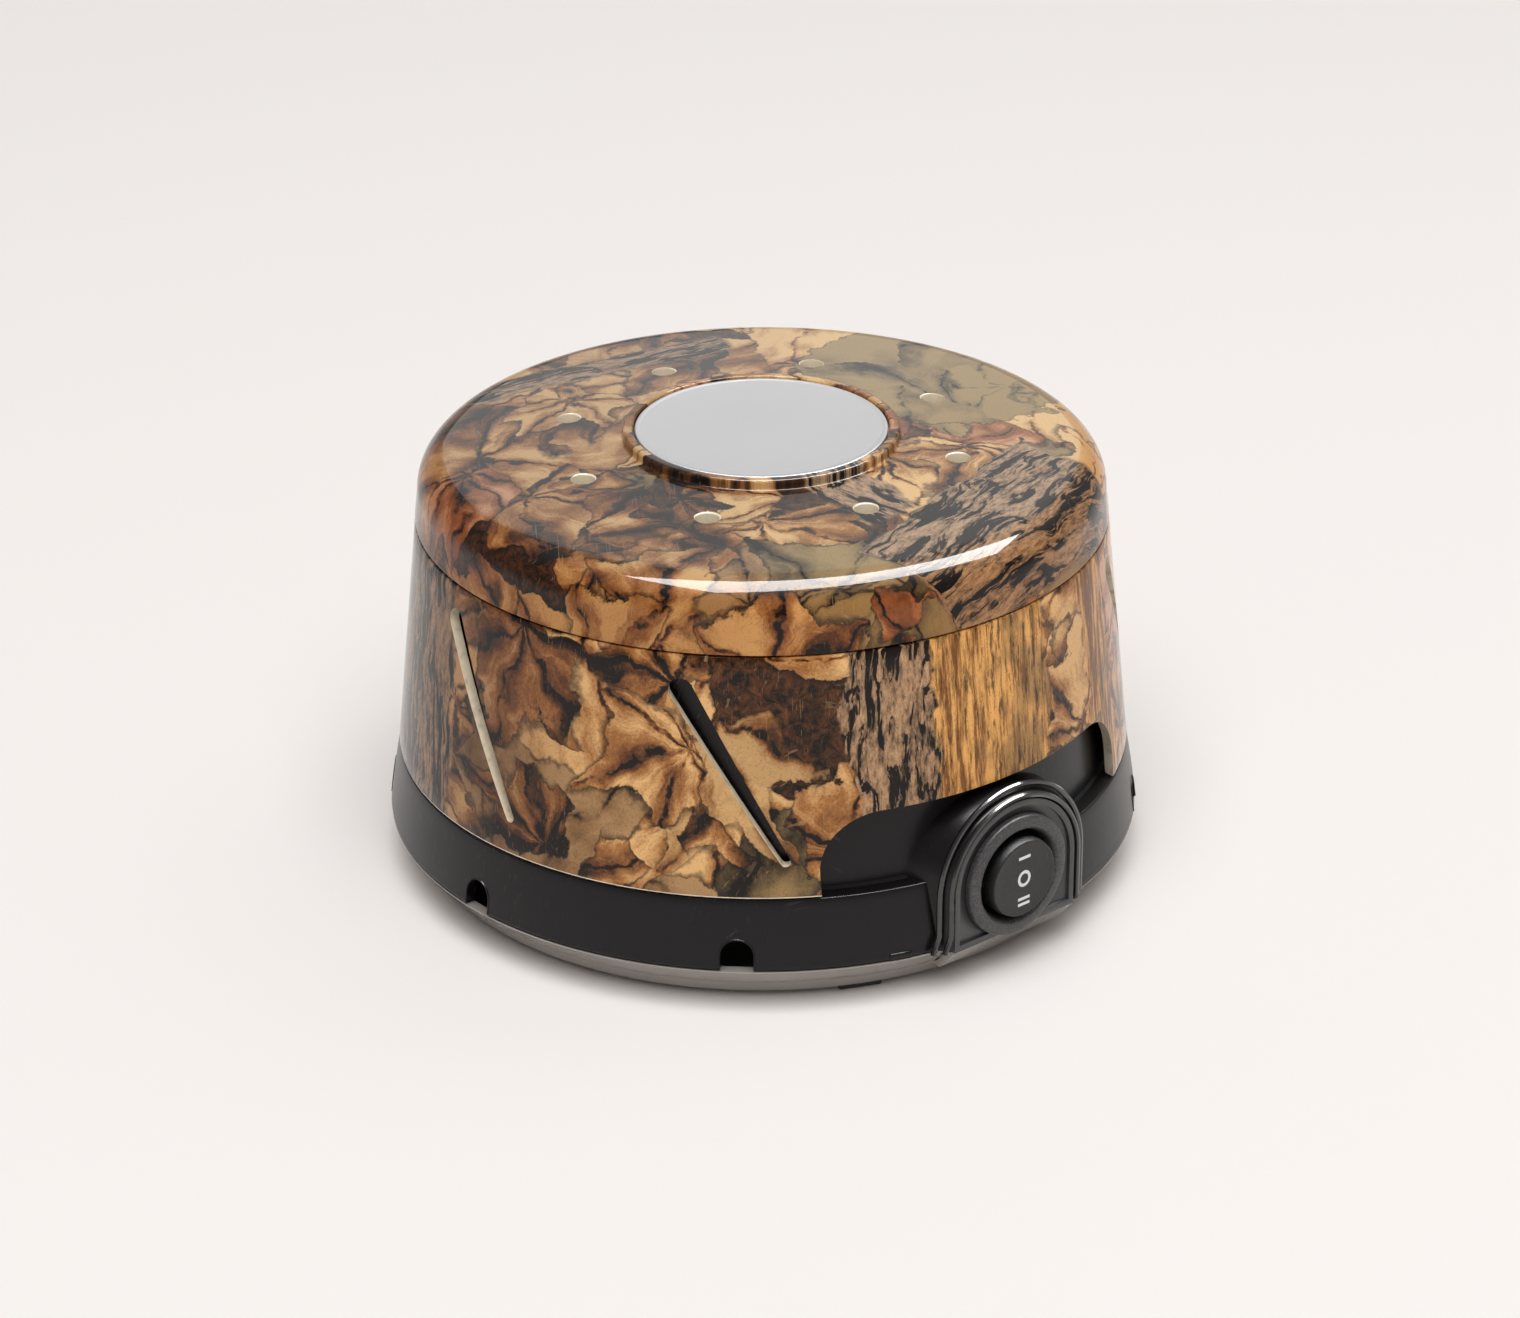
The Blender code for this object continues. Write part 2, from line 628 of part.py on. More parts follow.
def make_base_pan():
    """The pan that closes the bottom: its flared rim, foot seats, screw seats and motor posts."""
    black = add_material("black_pan", (0.014, 0.013, 0.014), 0.34)
    base_r = BODY_R - PAN_BASE_INSET
    step_r = base_r + PAN_STEP_DEPTH
    step_z = PAN_BOTTOM_Z + PAN_STEP_HEIGHT
    profile = [
        (0.0, PAN_FLOOR_Z),
        (base_r, PAN_FLOOR_Z),
        (BODY_R - WALL, PAN_TOP_Z),
        (BODY_R, PAN_TOP_Z),
        (step_r, step_z),
        (base_r, PAN_BOTTOM_Z),
        (0.0, PAN_BOTTOM_Z),
    ]
    pan = turned("base_pan", profile, LARGE_SIDES, black)

    def draw_posts(form):
        for side in (-1, 1):
            low = (side * POST_SPACING, 0, PAN_FLOOR_Z - PAN_FLOOR / 2)
            draw_cylinder(form, POST_R, low, (side * POST_SPACING, 0, POST_TOP_Z))

    def draw_pilots(form):
        for side in (-1, 1):
            low = (side * POST_SPACING, 0, POST_TOP_Z - MOTOR_SCREW_BITE - 2.0 * SEAT_GAP)
            high = (side * POST_SPACING, 0, POST_TOP_Z + WALL)
            draw_cylinder(form, MOTOR_SCREW_R + BORE_GAP, low, high, TINY_SIDES)

    def draw_seats(form):
        for azimuth in FOOT_AZIMUTHS:
            inner = -(base_r - FOOT_LENGTH - SEAT_GAP)
            half = FOOT_WIDTH / 2 + SEAT_GAP
            draw_box(form, (-half, -BODY_R, -WALL), (half, inner, FOOT_HEIGHT + SEAT_GAP), azimuth)

    join(pan, add_object("pan_posts", mesh_of(draw_posts, "pan_posts")))
    notch = PANEL_HALF_WIDTH + SEAT_GAP
    corner = (notch, -base_r + 2.0 * WALL, SKIRT_Z + WALL)
    front = box("pan_notch", (-notch, -BODY_R - WALL, PAN_FLOOR_Z), corner)
    pilots = add_object("pan_pilots", mesh_of(draw_pilots, "pan_pilots"))
    seats = add_object("foot_seats", mesh_of(draw_seats, "foot_seats"))
    head_z = PAN_BOTTOM_Z + SCREW_HEAD_INSET + BASE_SCREW_HEAD + 2.0 * SEAT_GAP
    heads = screw_cutters("pan_head_seats", BASE_SCREW_HEAD_R + BORE_GAP, -WALL, head_z)
    ways = screw_cutters("pan_screw_ways", BASE_SCREW_R + BORE_GAP, -WALL, PAN_FLOOR_Z + WALL)
    return cut(pan, front, pilots, seats, heads, ways)


def make_feet():
    """Four rubber blocks set into the rim of the pan."""
    rubber = add_material("foot_rubber", (0.05, 0.05, 0.052), 0.7)
    base_r = BODY_R - PAN_BASE_INSET
    for number, azimuth in enumerate(FOOT_AZIMUTHS, 1):
        half = FOOT_WIDTH / 2
        corner = (half, -base_r + FOOT_LENGTH, FOOT_HEIGHT)
        box(f"foot_{number}", (-half, -base_r, 0.0), corner, azimuth, rubber)


def make_screw(name, centre, head_z, head_r, head_height, shank_r, tip_z, material):
    """A pan head screw along Z, its head between head_z and the shank that runs to tip_z."""
    away = 1 if tip_z > head_z else -1
    x, y = centre

    def draw(form):
        draw_cylinder(form, head_r, (x, y, head_z), (x, y, head_z + away * head_height), TINY_SIDES)

    head = add_object(name, mesh_of(draw, name), PARTS, material)
    inside = head_z + away * head_height / 2
    return join(head, cylinder(name + "_shank", shank_r, (x, y, inside), (x, y, tip_z), TINY_SIDES))


def make_base_screws():
    """The screws that hold the pan to the housing."""
    steel = add_material("screw_steel", (0.35, 0.35, 0.36), 0.35, 1.0)
    for number, azimuth in enumerate(BASE_SCREW_AZIMUTHS, 1):
        point = place(azimuth, BODY_R - BASE_SCREW_INSET)
        low = PAN_BOTTOM_Z + SCREW_HEAD_INSET
        tip = low + BASE_SCREW_LENGTH
        name = f"base_screw_{number}"
        make_screw(name, point.xy, low, BASE_SCREW_HEAD_R, BASE_SCREW_HEAD, BASE_SCREW_R, tip, steel)


def make_panel():
    """The arched switch panel with its raised rim and the lip that fills the gap in the pan."""
    satin = add_material("panel_plastic", (0.03, 0.03, 0.031), 0.4)
    foot_z = SKIRT_Z
    back_y = PANEL_Y + PANEL_THICKNESS
    panel = outline("switch_panel", arch(PANEL_HALF_WIDTH, SWITCH_Z, foot_z), HOOD_Y, back_y, material=satin)
    recess = arch(PANEL_HALF_WIDTH - PANEL_RIM_WIDTH, SWITCH_Z, foot_z - WALL)
    face = outline("panel_recess", recess, HOOD_Y - WALL, PANEL_Y)
    lip_z = PAN_FLOOR_Z + SEAT_GAP
    section = [
        (PANEL_Y, foot_z + PANEL_RIM_WIDTH),
        (PANEL_Y, lip_z + LIP_DROP),
        (PANEL_Y + LIP_SETBACK, lip_z),
        (back_y + LIP_SETBACK, lip_z),
        (back_y, lip_z + LIP_DROP),
        (back_y, foot_z + PANEL_RIM_WIDTH),
    ]
    lip = outline("panel_lip", section, -PANEL_HALF_WIDTH, PANEL_HALF_WIDTH, across="X")
    hole_r = SWITCH_BARREL_R + BORE_GAP
    ends = [(0, y, SWITCH_Z) for y in (HOOD_Y - WALL, back_y + WALL)]
    hole = cylinder("panel_hole", hole_r, *ends, 2 * SMALL_SIDES)
    cut(panel, face)
    join(panel, lip)
    return cut(panel, hole)


def face_switch(shape):
    """Turn a shape drawn along Z so that its front faces -Y, with its front plane's centre at the origin."""
    shape.rotation_euler = (math.pi / 2, 0.0, 0.0)
    shape.location = (0.0, PANEL_Y * MM, SWITCH_Z * MM)
    return shape


def make_switch():
    """Bezel and body, rocker, its pin and the three terminals."""
    grained = add_material("bezel_plastic", (0.028, 0.028, 0.03), 0.5)
    plated = add_material("terminal_brass", (0.7, 0.6, 0.35), 0.3, 1.0)
    steel = add_material("pin_steel", (0.5, 0.5, 0.5), 0.3, 1.0)
    front = SEAT_GAP + BEZEL_THICKNESS
    profile = [
        (ROCKER_POCKET_R, front),
        (BEZEL_R - BEZEL_CHAMFER, front),
        (BEZEL_R, front - BEZEL_CHAMFER),
        (BEZEL_R, SEAT_GAP),
        (SWITCH_BARREL_R, SEAT_GAP),
        (SWITCH_BARREL_R, -SWITCH_DEPTH),
        (0.0, -SWITCH_DEPTH),
    ]
    pocket_z = front - ROCKER_POCKET_DEPTH
    profile = [(0.0, pocket_z), (ROCKER_POCKET_R, pocket_z)] + profile
    body = face_switch(turned("switch_body", profile, 2 * SMALL_SIDES, grained))
    pivot_y = PANEL_Y - front - ROCKER_PROUD + ROCKER_PIVOT_DEPTH
    half = (ROCKER_POCKET_R + SWITCH_BARREL_R) / 2
    way_r = ROCKER_PIN_R + BORE_GAP
    ends = [(side * BEZEL_R, pivot_y, SWITCH_Z) for side in (-1, 1)]
    cut(body, cylinder("pin_way", way_r, *ends, TINY_SIDES))
    ends = [(side * half, pivot_y, SWITCH_Z) for side in (-1, 1)]
    cylinder("rocker_pin", ROCKER_PIN_R, *ends, TINY_SIDES, steel)
    make_rocker(grained, pivot_y)
    back_y = PANEL_Y + SWITCH_DEPTH + SEAT_GAP
    for number, step in enumerate((1, 0, -1), 1):
        z = SWITCH_Z + step * TERMINAL_PITCH
        low = (-TERMINAL_WIDTH / 2, back_y, z - TERMINAL_THICKNESS / 2)
        high = (TERMINAL_WIDTH / 2, back_y + TERMINAL_LENGTH, z + TERMINAL_THICKNESS / 2)
        box(f"switch_terminal_{number}", low, high, material=plated)


def make_rocker(material, pivot_y):
    """The round rocker. Its origin is on the pin."""
    front = ROCKER_PIVOT_DEPTH
    profile = [
        (0.0, front),
        (ROCKER_R - FINE_CHAMFER, front),
        (ROCKER_R, front - FINE_CHAMFER),
        (ROCKER_R, front - ROCKER_THICKNESS),
        (0.0, front - ROCKER_THICKNESS),
    ]
    rocker = turned("switch_rocker", profile, 2 * SMALL_SIDES, material)
    rocker.rotation_euler = (math.pi / 2, 0.0, 0.0)
    rocker.location = (0.0, pivot_y * MM, SWITCH_Z * MM)
    way_r = ROCKER_PIN_R + BORE_GAP
    ends = [(side * BEZEL_R, pivot_y, SWITCH_Z) for side in (-1, 1)]
    return cut(rocker, cylinder("rocker_pin_way", way_r, ends[0], ends[1], TINY_SIDES))


def make_grommet():
    """The rubber grommet in the cord inlet at the back."""
    rubber = add_material("grommet_rubber", (0.02, 0.02, 0.02), 0.7)
    outer = BODY_R + INLET_PAD_PROUD + SEAT_GAP
    inner = BODY_R + INLET_PAD_PROUD - INLET_PAD_THICKNESS - SEAT_GAP
    profile = [
        (GROMMET_FLANGE_R - FINE_CHAMFER, outer + GROMMET_FLANGE),
        (GROMMET_FLANGE_R, outer + GROMMET_FLANGE - FINE_CHAMFER),
        (GROMMET_FLANGE_R, outer),
        (GROMMET_NECK_R, outer),
        (GROMMET_NECK_R, inner),
        (GROMMET_FLANGE_R, inner),
        (GROMMET_FLANGE_R, inner - GROMMET_FLANGE),
        (CORD_HOLE_R, inner - GROMMET_FLANGE),
        (CORD_HOLE_R, outer + GROMMET_FLANGE),
    ]
    grommet = turned("cord_grommet", profile, SMALL_SIDES, rubber, closed=True)
    grommet.rotation_euler = (-math.pi / 2, 0.0, 0.0)
    grommet.location = (0.0, 0.0, INLET_Z * MM)


def draw_pair(name, radius, low, high, sides=TINY_SIDES):
    """A helper of two cylinders on the motor's screw lines."""

    def draw(form):
        for side in (-1, 1):
            x = side * POST_SPACING
            draw_cylinder(form, radius, (x, 0, low), (x, 0, high), sides)

    return add_object(name, mesh_of(draw, name))


def make_stack():
    """The lamination stack: rotor bore, coil window, screw ways and the slots for the shading rings."""
    iron = add_material("lamination_iron", (0.25, 0.24, 0.24), 0.5, 1.0)
    low = (-STACK_HALF_WIDTH, -STACK_FRONT, STACK_Z)
    high = (STACK_HALF_WIDTH, STACK_BACK, STACK_TOP_Z)
    stack = box("stator_stack", low, high, material=iron)
    bore = cylinder("rotor_bore", ROTOR_R + AIR_GAP, (0, 0, STACK_Z - WALL), (0, 0, STACK_TOP_Z + WALL), 36)
    window_y = STACK_BACK - CORE_LEG
    window = box(
        "coil_window",
        (-COIL_WINDOW_HALF, window_y - COIL_WINDOW_DEPTH, STACK_Z - WALL),
        (COIL_WINDOW_HALF, window_y, STACK_TOP_Z + WALL),
    )
    ways = draw_pair("stack_ways", MOTOR_SCREW_R + BORE_GAP, STACK_Z - WALL, STACK_TOP_Z + WALL)

    def draw_slots(form):
        half = SHADING_WIRE / 2 + BORE_GAP
        inner = SHADING_INNER_R
        outer = SHADING_OUTER_R
        for turn in (135.0, 315.0):
            for near, far in ((inner - 1.5, inner + SHADING_WIRE), (outer - SHADING_WIRE, outer)):
                corner = (-half, -far - BORE_GAP, STACK_Z - WALL)
                draw_box(form, corner, (half, -near + BORE_GAP, STACK_TOP_Z + WALL), turn)

    slots = add_object("shading_slots", mesh_of(draw_slots, "shading_slots"))
    return cut(stack, bore, window, ways, slots)


def make_shading_rings():
    """Two copper loops, each round one corner of a pole."""
    copper = add_material("shading_copper", (0.75, 0.35, 0.2), 0.3, 1.0)
    low = STACK_Z - SEAT_GAP - SHADING_WIRE
    high = STACK_TOP_Z + SEAT_GAP + SHADING_WIRE
    half = SHADING_WIRE / 2
    for number, turn in enumerate((135.0, 315.0), 1):
        corner = (-half, -SHADING_OUTER_R, low)
        ring = box(f"shading_ring_{number}", corner, (half, -SHADING_INNER_R, high), turn, copper)
        hollow = (-2.0 * half, -SHADING_OUTER_R + SHADING_WIRE, low + SHADING_WIRE)
        reach = (2.0 * half, -SHADING_INNER_R - SHADING_WIRE, high - SHADING_WIRE)
        cut(ring, box(f"shading_hollow_{number}", hollow, reach, turn))


def make_coil():
    """The bobbin on the core leg and the winding on the bobbin."""
    nylon = add_material("bobbin_nylon", (0.7, 0.68, 0.6), 0.5)
    wire = add_material("winding_copper", (0.5, 0.22, 0.1), 0.4, 0.8)
    leg = ((STACK_BACK - CORE_LEG, STACK_Z), (STACK_BACK, STACK_TOP_Z))
    half = COIL_WINDOW_HALF - SEAT_GAP

    def block(name, grow, reach, material=None):
        low = (-reach, leg[0][0] - grow, leg[0][1] - grow)
        return box(name, low, (reach, leg[1][0] + grow, leg[1][1] + grow), material=material)

    tube = SEAT_GAP + BOBBIN_WALL
    bobbin = block("coil_bobbin", BOBBIN_FLANGE, half, nylon)
    groove = block("bobbin_groove", BOBBIN_FLANGE + WALL, half - BOBBIN_WALL)
    cut(groove, block("groove_core", tube, half))
    cut(bobbin, groove, block("bobbin_way", SEAT_GAP, half + WALL))
    winding = block("coil_winding", tube + COIL_DEPTH, half - BOBBIN_WALL - SEAT_GAP, wire)
    cut(winding, block("winding_way", tube + SEAT_GAP, half + WALL))


def make_bracket(name, foot_z, strap_z, material):
    """A U shaped bearing bracket: two feet on the stack and a strap that carries the bush."""
    inner = BRACKET_INNER_HALF
    outer = inner + BRACKET_THICKNESS
    foot = STACK_HALF_WIDTH
    thick = BRACKET_THICKNESS
    if strap_z < foot_z:
        right = [(foot, foot_z + thick), (foot, foot_z), (outer, foot_z), (outer, strap_z)]
        inside = [(inner, strap_z + thick), (inner, foot_z + thick)]
    else:
        right = [(foot, foot_z), (foot, foot_z + thick), (outer, foot_z + thick), (outer, strap_z + thick)]
        inside = [(inner, strap_z), (inner, foot_z)]
    left = [(-x, z) for x, z in reversed(right)]
    back = [(-x, z) for x, z in reversed(inside)]
    section = right + left + back + inside
    bracket = outline(name, section, -BRACKET_WIDTH / 2, BRACKET_WIDTH / 2, material=material)
    bush_way = cylinder(name + "_bore", BUSH_R + BORE_GAP, (0, 0, strap_z - WALL), (0, 0, strap_z + 2 * WALL))
    ways = draw_pair(name + "_ways", MOTOR_SCREW_R + BORE_GAP, foot_z - WALL, foot_z + 2 * WALL)
    return cut(bracket, bush_way, ways)


def make_motor():
    """Everything of the motor that stands still."""
    zinc = add_material("bracket_zinc", (0.6, 0.6, 0.62), 0.4, 1.0)
    bronze = add_material("bush_bronze", (0.55, 0.38, 0.2), 0.4, 1.0)
    rubber = add_material("isolator_rubber", (0.03, 0.03, 0.03), 0.75)
    steel = add_material("motor_screw_steel", (0.55, 0.55, 0.56), 0.3, 1.0)
    make_stack()
    make_shading_rings()
    make_coil()
    make_bracket("lower_bracket", BRACKET_FOOT_Z, LOWER_STRAP_Z, zinc)
    make_bracket("upper_bracket", UPPER_FOOT_Z, UPPER_STRAP_Z, zinc)
    bore = SHAFT_R + BORE_GAP
    top = LOWER_BUSH_Z + BUSH_HEIGHT
    floor = LOWER_BUSH_Z + BRACKET_THICKNESS
    profile = [(0.0, floor), (bore, floor), (bore, top)]
    profile += [(BUSH_R, top), (BUSH_R, LOWER_BUSH_Z), (0.0, LOWER_BUSH_Z)]
    turned("lower_bush", profile, SMALL_SIDES, bronze)
    top = UPPER_BUSH_Z + BUSH_HEIGHT
    profile = [(BUSH_R, top), (BUSH_R, UPPER_BUSH_Z), (bore, UPPER_BUSH_Z), (bore, top)]
    turned("upper_bush", profile, SMALL_SIDES, bronze, closed=True)
    for name, side in (("left", -1), ("right", 1)):
        x = side * POST_SPACING
        low = POST_TOP_Z + SEAT_GAP
        ends = [(x, 0, low), (x, 0, low + ISOLATOR_HEIGHT)]
        pad = cylinder(f"isolator_{name}", POST_R, *ends, material=rubber)
        way = (x, 0, low - WALL), (x, 0, low + ISOLATOR_HEIGHT + WALL)
        cut(pad, cylinder(f"isolator_way_{name}", MOTOR_SCREW_R + BORE_GAP, *way, TINY_SIDES))
        head_z = UPPER_FOOT_Z + BRACKET_THICKNESS + SEAT_GAP + MOTOR_SCREW_HEAD
        tip_z = POST_TOP_Z - MOTOR_SCREW_BITE
        name = f"motor_screw_{name}"
        make_screw(name, (x, 0), head_z, MOTOR_SCREW_HEAD_R, MOTOR_SCREW_HEAD, MOTOR_SCREW_R, tip_z, steel)


def smooth_route(points, steps):
    """Points on a smooth curve through the route's own points."""
    ends = [points[0] * 2 - points[1]] + points + [points[-1] * 2 - points[-2]]
    route = []
    for start in range(len(points) - 1):
        before, near, far, after = ends[start : start + 4]
        for step in range(steps):
            share = step / steps
            bend = (before * 2 - near * 5 + far * 4 - after) * share**2
            twist = (near * 3 - before - far * 3 + after) * share**3
            route.append((near * 2 + (far - before) * share + bend + twist) / 2)
    return route + [points[-1]]


def make_leads():
    """The two leads from the outer switch terminals round the motor to the bobbin's flanges."""
    sheath = add_material("lead_sheath", (0.02, 0.02, 0.02), 0.5)
    start_y = PANEL_Y + SWITCH_DEPTH + TERMINAL_LENGTH + 2.0 * SEAT_GAP
    end_x = COIL_WINDOW_HALF
    end_y = STACK_BACK - CORE_LEG / 2
    end_z = STACK_Z - BOBBIN_FLANGE / 2
    straight = 2.0 * LEAD_R
    low_z = PAN_FLOOR_Z + 2.0 * POST_R
    for number, side in ((1, 1), (2, -1)):
        start = Vector((0.0, start_y, SWITCH_Z + side * TERMINAL_PITCH))
        end = Vector((side * end_x, end_y, end_z))
        points = [
            start + Vector((0.0, straight, 0.0)),
            start + Vector((0.0, 2.0 * straight, 0.0)),
            Vector((side * LEAD_REACH / 2, start_y + LEAD_REACH / 2, (start.z + low_z) / 2)),
            Vector((side * LEAD_REACH, -LEAD_REACH / 3, low_z)),
            Vector((side * LEAD_REACH, LEAD_REACH / 2, low_z)),
            end + Vector((side * 3.0 * straight, 0.0, 0.0)),
            end + Vector((side * straight, 0.0, 0.0)),
        ]
        curve = bpy.data.curves.new(f"motor_lead_{number}", "CURVE")
        curve.dimensions = "3D"
        curve.bevel_depth = LEAD_R * MM
        curve.bevel_resolution = 2
        curve.use_fill_caps = True
        spline = curve.splines.new("POLY")
        route = [start] + smooth_route(points, LEAD_STEPS) + [end]
        spline.points.add(len(route) - 1)
        for spot, point in zip(spline.points, route):
            spot.co = (*(point * MM), 1.0)
        curve.materials.append(sheath)
        PARTS.objects.link(bpy.data.objects.new(f"motor_lead_{number}", curve))


def make_fan():
    """Shaft, rotor, fan wheel and its clip, which turn together about Z."""
    steel = add_material("shaft_steel", (0.6, 0.6, 0.6), 0.2, 1.0)
    iron = add_material("rotor_iron", (0.4, 0.4, 0.4), 0.4, 1.0)
    plastic = add_material("fan_plastic", (0.75, 0.73, 0.68), 0.45)
    foot_z = LOWER_BUSH_Z + BRACKET_THICKNESS + SEAT_GAP
    cylinder("motor_shaft", SHAFT_R, (0, 0, foot_z), (0, 0, SHAFT_TOP_Z), material=steel)
    bore = SHAFT_R + BORE_GAP
    low = STACK_Z + AIR_GAP
    high = STACK_TOP_Z - AIR_GAP
    turned("rotor", [(ROTOR_R, high), (ROTOR_R, low), (bore, low), (bore, high)], 36, iron, closed=True)
    disc_z = FAN_Z + FAN_DISC
    hub_z = FAN_Z + FAN_HUB_HEIGHT
    profile = [(bore, hub_z), (FAN_HUB_R, hub_z), (FAN_HUB_R, disc_z)]
    profile += [(FAN_R, disc_z), (FAN_R, FAN_Z), (bore, FAN_Z)]
    wheel = turned("fan_wheel", profile, 2 * SMALL_SIDES, plastic, closed=True)

    def draw_blades(form):
        half = FAN_BLADE_THICKNESS / 2
        for blade in range(FAN_BLADES):
            low = (-half, -FAN_R + 0.5, FAN_Z + FAN_DISC / 2)
            high = (half, -FAN_R + 0.5 + FAN_BLADE_LENGTH, disc_z + FAN_BLADE_HEIGHT)
            draw_box(form, low, high, 360.0 / FAN_BLADES * blade)

    join(wheel, add_object("fan_blades", mesh_of(draw_blades, "fan_blades")))
    top = hub_z + SEAT_GAP + CLIP_THICKNESS
    profile = [(CLIP_R, top), (CLIP_R, hub_z + SEAT_GAP), (bore, hub_z + SEAT_GAP), (bore, top)]
    turned("fan_clip", profile, SMALL_SIDES, steel, closed=True)


make_housing()
make_collar()
make_cap()
make_cap_fittings()
make_base_pan()
make_feet()
make_base_screws()
make_panel()
make_switch()
make_grommet()
make_motor()
make_leads()
make_fan()
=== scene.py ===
"""Fan sound machine: the finished shapes, materials and studio, built around its fixed mechanical frame.

Lengths in the code are in millimetres until they reach Blender. Z is up, the feet stand on Z = 0 and the
switch faces -Y. Azimuths are in degrees, from -Y towards +X.
"""

import math

import bpy
from mathutils import Matrix, Vector


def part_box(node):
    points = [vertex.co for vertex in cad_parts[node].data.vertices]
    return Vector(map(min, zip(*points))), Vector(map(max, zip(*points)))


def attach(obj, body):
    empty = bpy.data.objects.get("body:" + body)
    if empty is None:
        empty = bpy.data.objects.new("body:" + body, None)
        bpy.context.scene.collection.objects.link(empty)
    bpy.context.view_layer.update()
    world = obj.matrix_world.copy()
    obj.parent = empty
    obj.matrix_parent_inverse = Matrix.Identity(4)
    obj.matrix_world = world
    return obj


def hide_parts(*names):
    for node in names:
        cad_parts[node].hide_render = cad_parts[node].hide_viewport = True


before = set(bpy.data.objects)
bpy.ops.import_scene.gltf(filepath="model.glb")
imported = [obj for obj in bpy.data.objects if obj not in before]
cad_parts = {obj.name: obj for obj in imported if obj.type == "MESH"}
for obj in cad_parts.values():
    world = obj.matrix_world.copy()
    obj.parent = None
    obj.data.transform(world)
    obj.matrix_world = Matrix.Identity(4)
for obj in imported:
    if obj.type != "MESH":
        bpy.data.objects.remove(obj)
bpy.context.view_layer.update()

bl_info = {
    "name": "Fan Sound Machine",
    "version": (1, 0, 0),
    "blender": (4, 5, 0),
    "location": "View3D > Sidebar > Sound Machine",
    "description": "Builds the finished pieces of a tabletop fan sound machine",
    "category": "Object",
}

MM = 0.001

# Facets round a turn, for large, middling and small round pieces
LARGE_SIDES = 240
MIDDLE_SIDES = 96
SMALL_SIDES = 48
WELD_M = 0.00001
SMOOTH_ANGLE = math.radians(32.0)

# Layout that the mechanical frame shares with these pieces
SLOT_PITCH = 45.0
SLOT_COUNT = 7
SLOT_TOP_AZIMUTH = -6.7
SLOT_SLANT = 15.3
SLOT_TOP_BELOW_RIM = 6.8
SLOT_FOOT_ABOVE_RIM = 7.2
DRUM_SLOT_TURN = -11.0
HOLE_COUNT = 8
HOLE_RING_R = 38.3
HOLE_AZIMUTH = -9.6
DRUM_HOLE_TURN = 10.0
WINDOW_AZIMUTHS = [side * 43.5 * step for side in (-1, 1) for step in (1, 2, 3)]
FOOT_AZIMUTHS = [-24.0 + 90.0 * turn for turn in range(4)]
SCREW_AZIMUTHS = [21.0 + 90.0 * turn for turn in range(4)]
SCREW_RING_R = 62.5
SEAT_GAP = 0.3
PAN_RIM_HEIGHT = 7.6
PAN_FLOOR = 2.4
PAN_WALL_HEIGHT = 5.2
FOOT_PROUD = 0.8
POST_X = 17.0
BADGE_RING = 2.3
DRUM_FOOT_R = 67.3
DRUM_TOP_R = 62.5
DRUM_CORNER = 5.0
DRUM_EYE_R = 9.3
HOOD_OPENING = 15.2
HOOD_DEPTH = 11.0
INLET_R = 4.1
INLET_PAD_R = 5.7
LATCH_AZIMUTH = -19.5
SWITCH_HOLE_R = 10.0

# Cutters reach past what they cut, between these radii
CUTTER_NEAR = 40.0
CUTTER_FAR = 90.0


def extent(node):
    """Lowest and highest corner of a node of the frame, in millimetres."""
    low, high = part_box(node)
    return low / MM, high / MM


CAP_LOW, CAP_HIGH = extent("cap")
COLLAR_LOW, COLLAR_HIGH = extent("collar")
HOUSING_HIGH = extent("housing")[1]
PAN_LOW, PAN_HIGH = extent("base_pan")
PANEL_LOW, PANEL_HIGH = extent("switch_panel")
SWITCH_LOW, SWITCH_HIGH = extent("switch_body")
ROCKER_LOW, ROCKER_HIGH = extent("switch_rocker")
BADGE_LOW, BADGE_HIGH = extent("badge_disc")
GROMMET_LOW, GROMMET_HIGH = extent("cord_grommet")
FOOT_LOW = extent("foot_1")[0]

BODY_R = HOUSING_HIGH.x
SKIRT_Z = PAN_LOW.z + PAN_RIM_HEIGHT + SEAT_GAP
LEDGE_Z = COLLAR_LOW.z - SEAT_GAP
LEDGE_R = COLLAR_HIGH.x
COLLAR_TOP_R = CAP_HIGH.x
DRUM_TOP_Z = HOUSING_HIGH.z
PANEL_HALF = PANEL_HIGH.x
SWITCH_Z = (SWITCH_LOW.z + SWITCH_HIGH.z) / 2
HOOD_Y = PANEL_LOW.y
BEZEL_R = SWITCH_HIGH.x
BEZEL_Y = SWITCH_LOW.y
ROCKER_R = ROCKER_HIGH.x
ROCKER_Y = ROCKER_LOW.y
INLET_Z = (GROMMET_LOW.z + GROMMET_HIGH.z) / 2


def size(label, millimetres, text):
    """A length that a user may change."""
    return bpy.props.FloatProperty(
        name=label, description=text, default=millimetres * MM, min=0.0, unit="LENGTH", precision=5
    )


def colour(label, red, green, blue, text):
    """A colour that a user may change, given as it shows on a screen, from 0 to 255."""
    return bpy.props.FloatVectorProperty(
        name=label, description=text, subtype="COLOR", min=0.0, max=1.0, default=linear(red, green, blue)
    )


def linear(*levels):
    """Screen levels from 0 to 255 as linear light."""
    shares = [level / 255.0 for level in levels]
    return tuple(s / 12.92 if s <= 0.04045 else ((s + 0.055) / 1.055) ** 2.4 for s in shares)


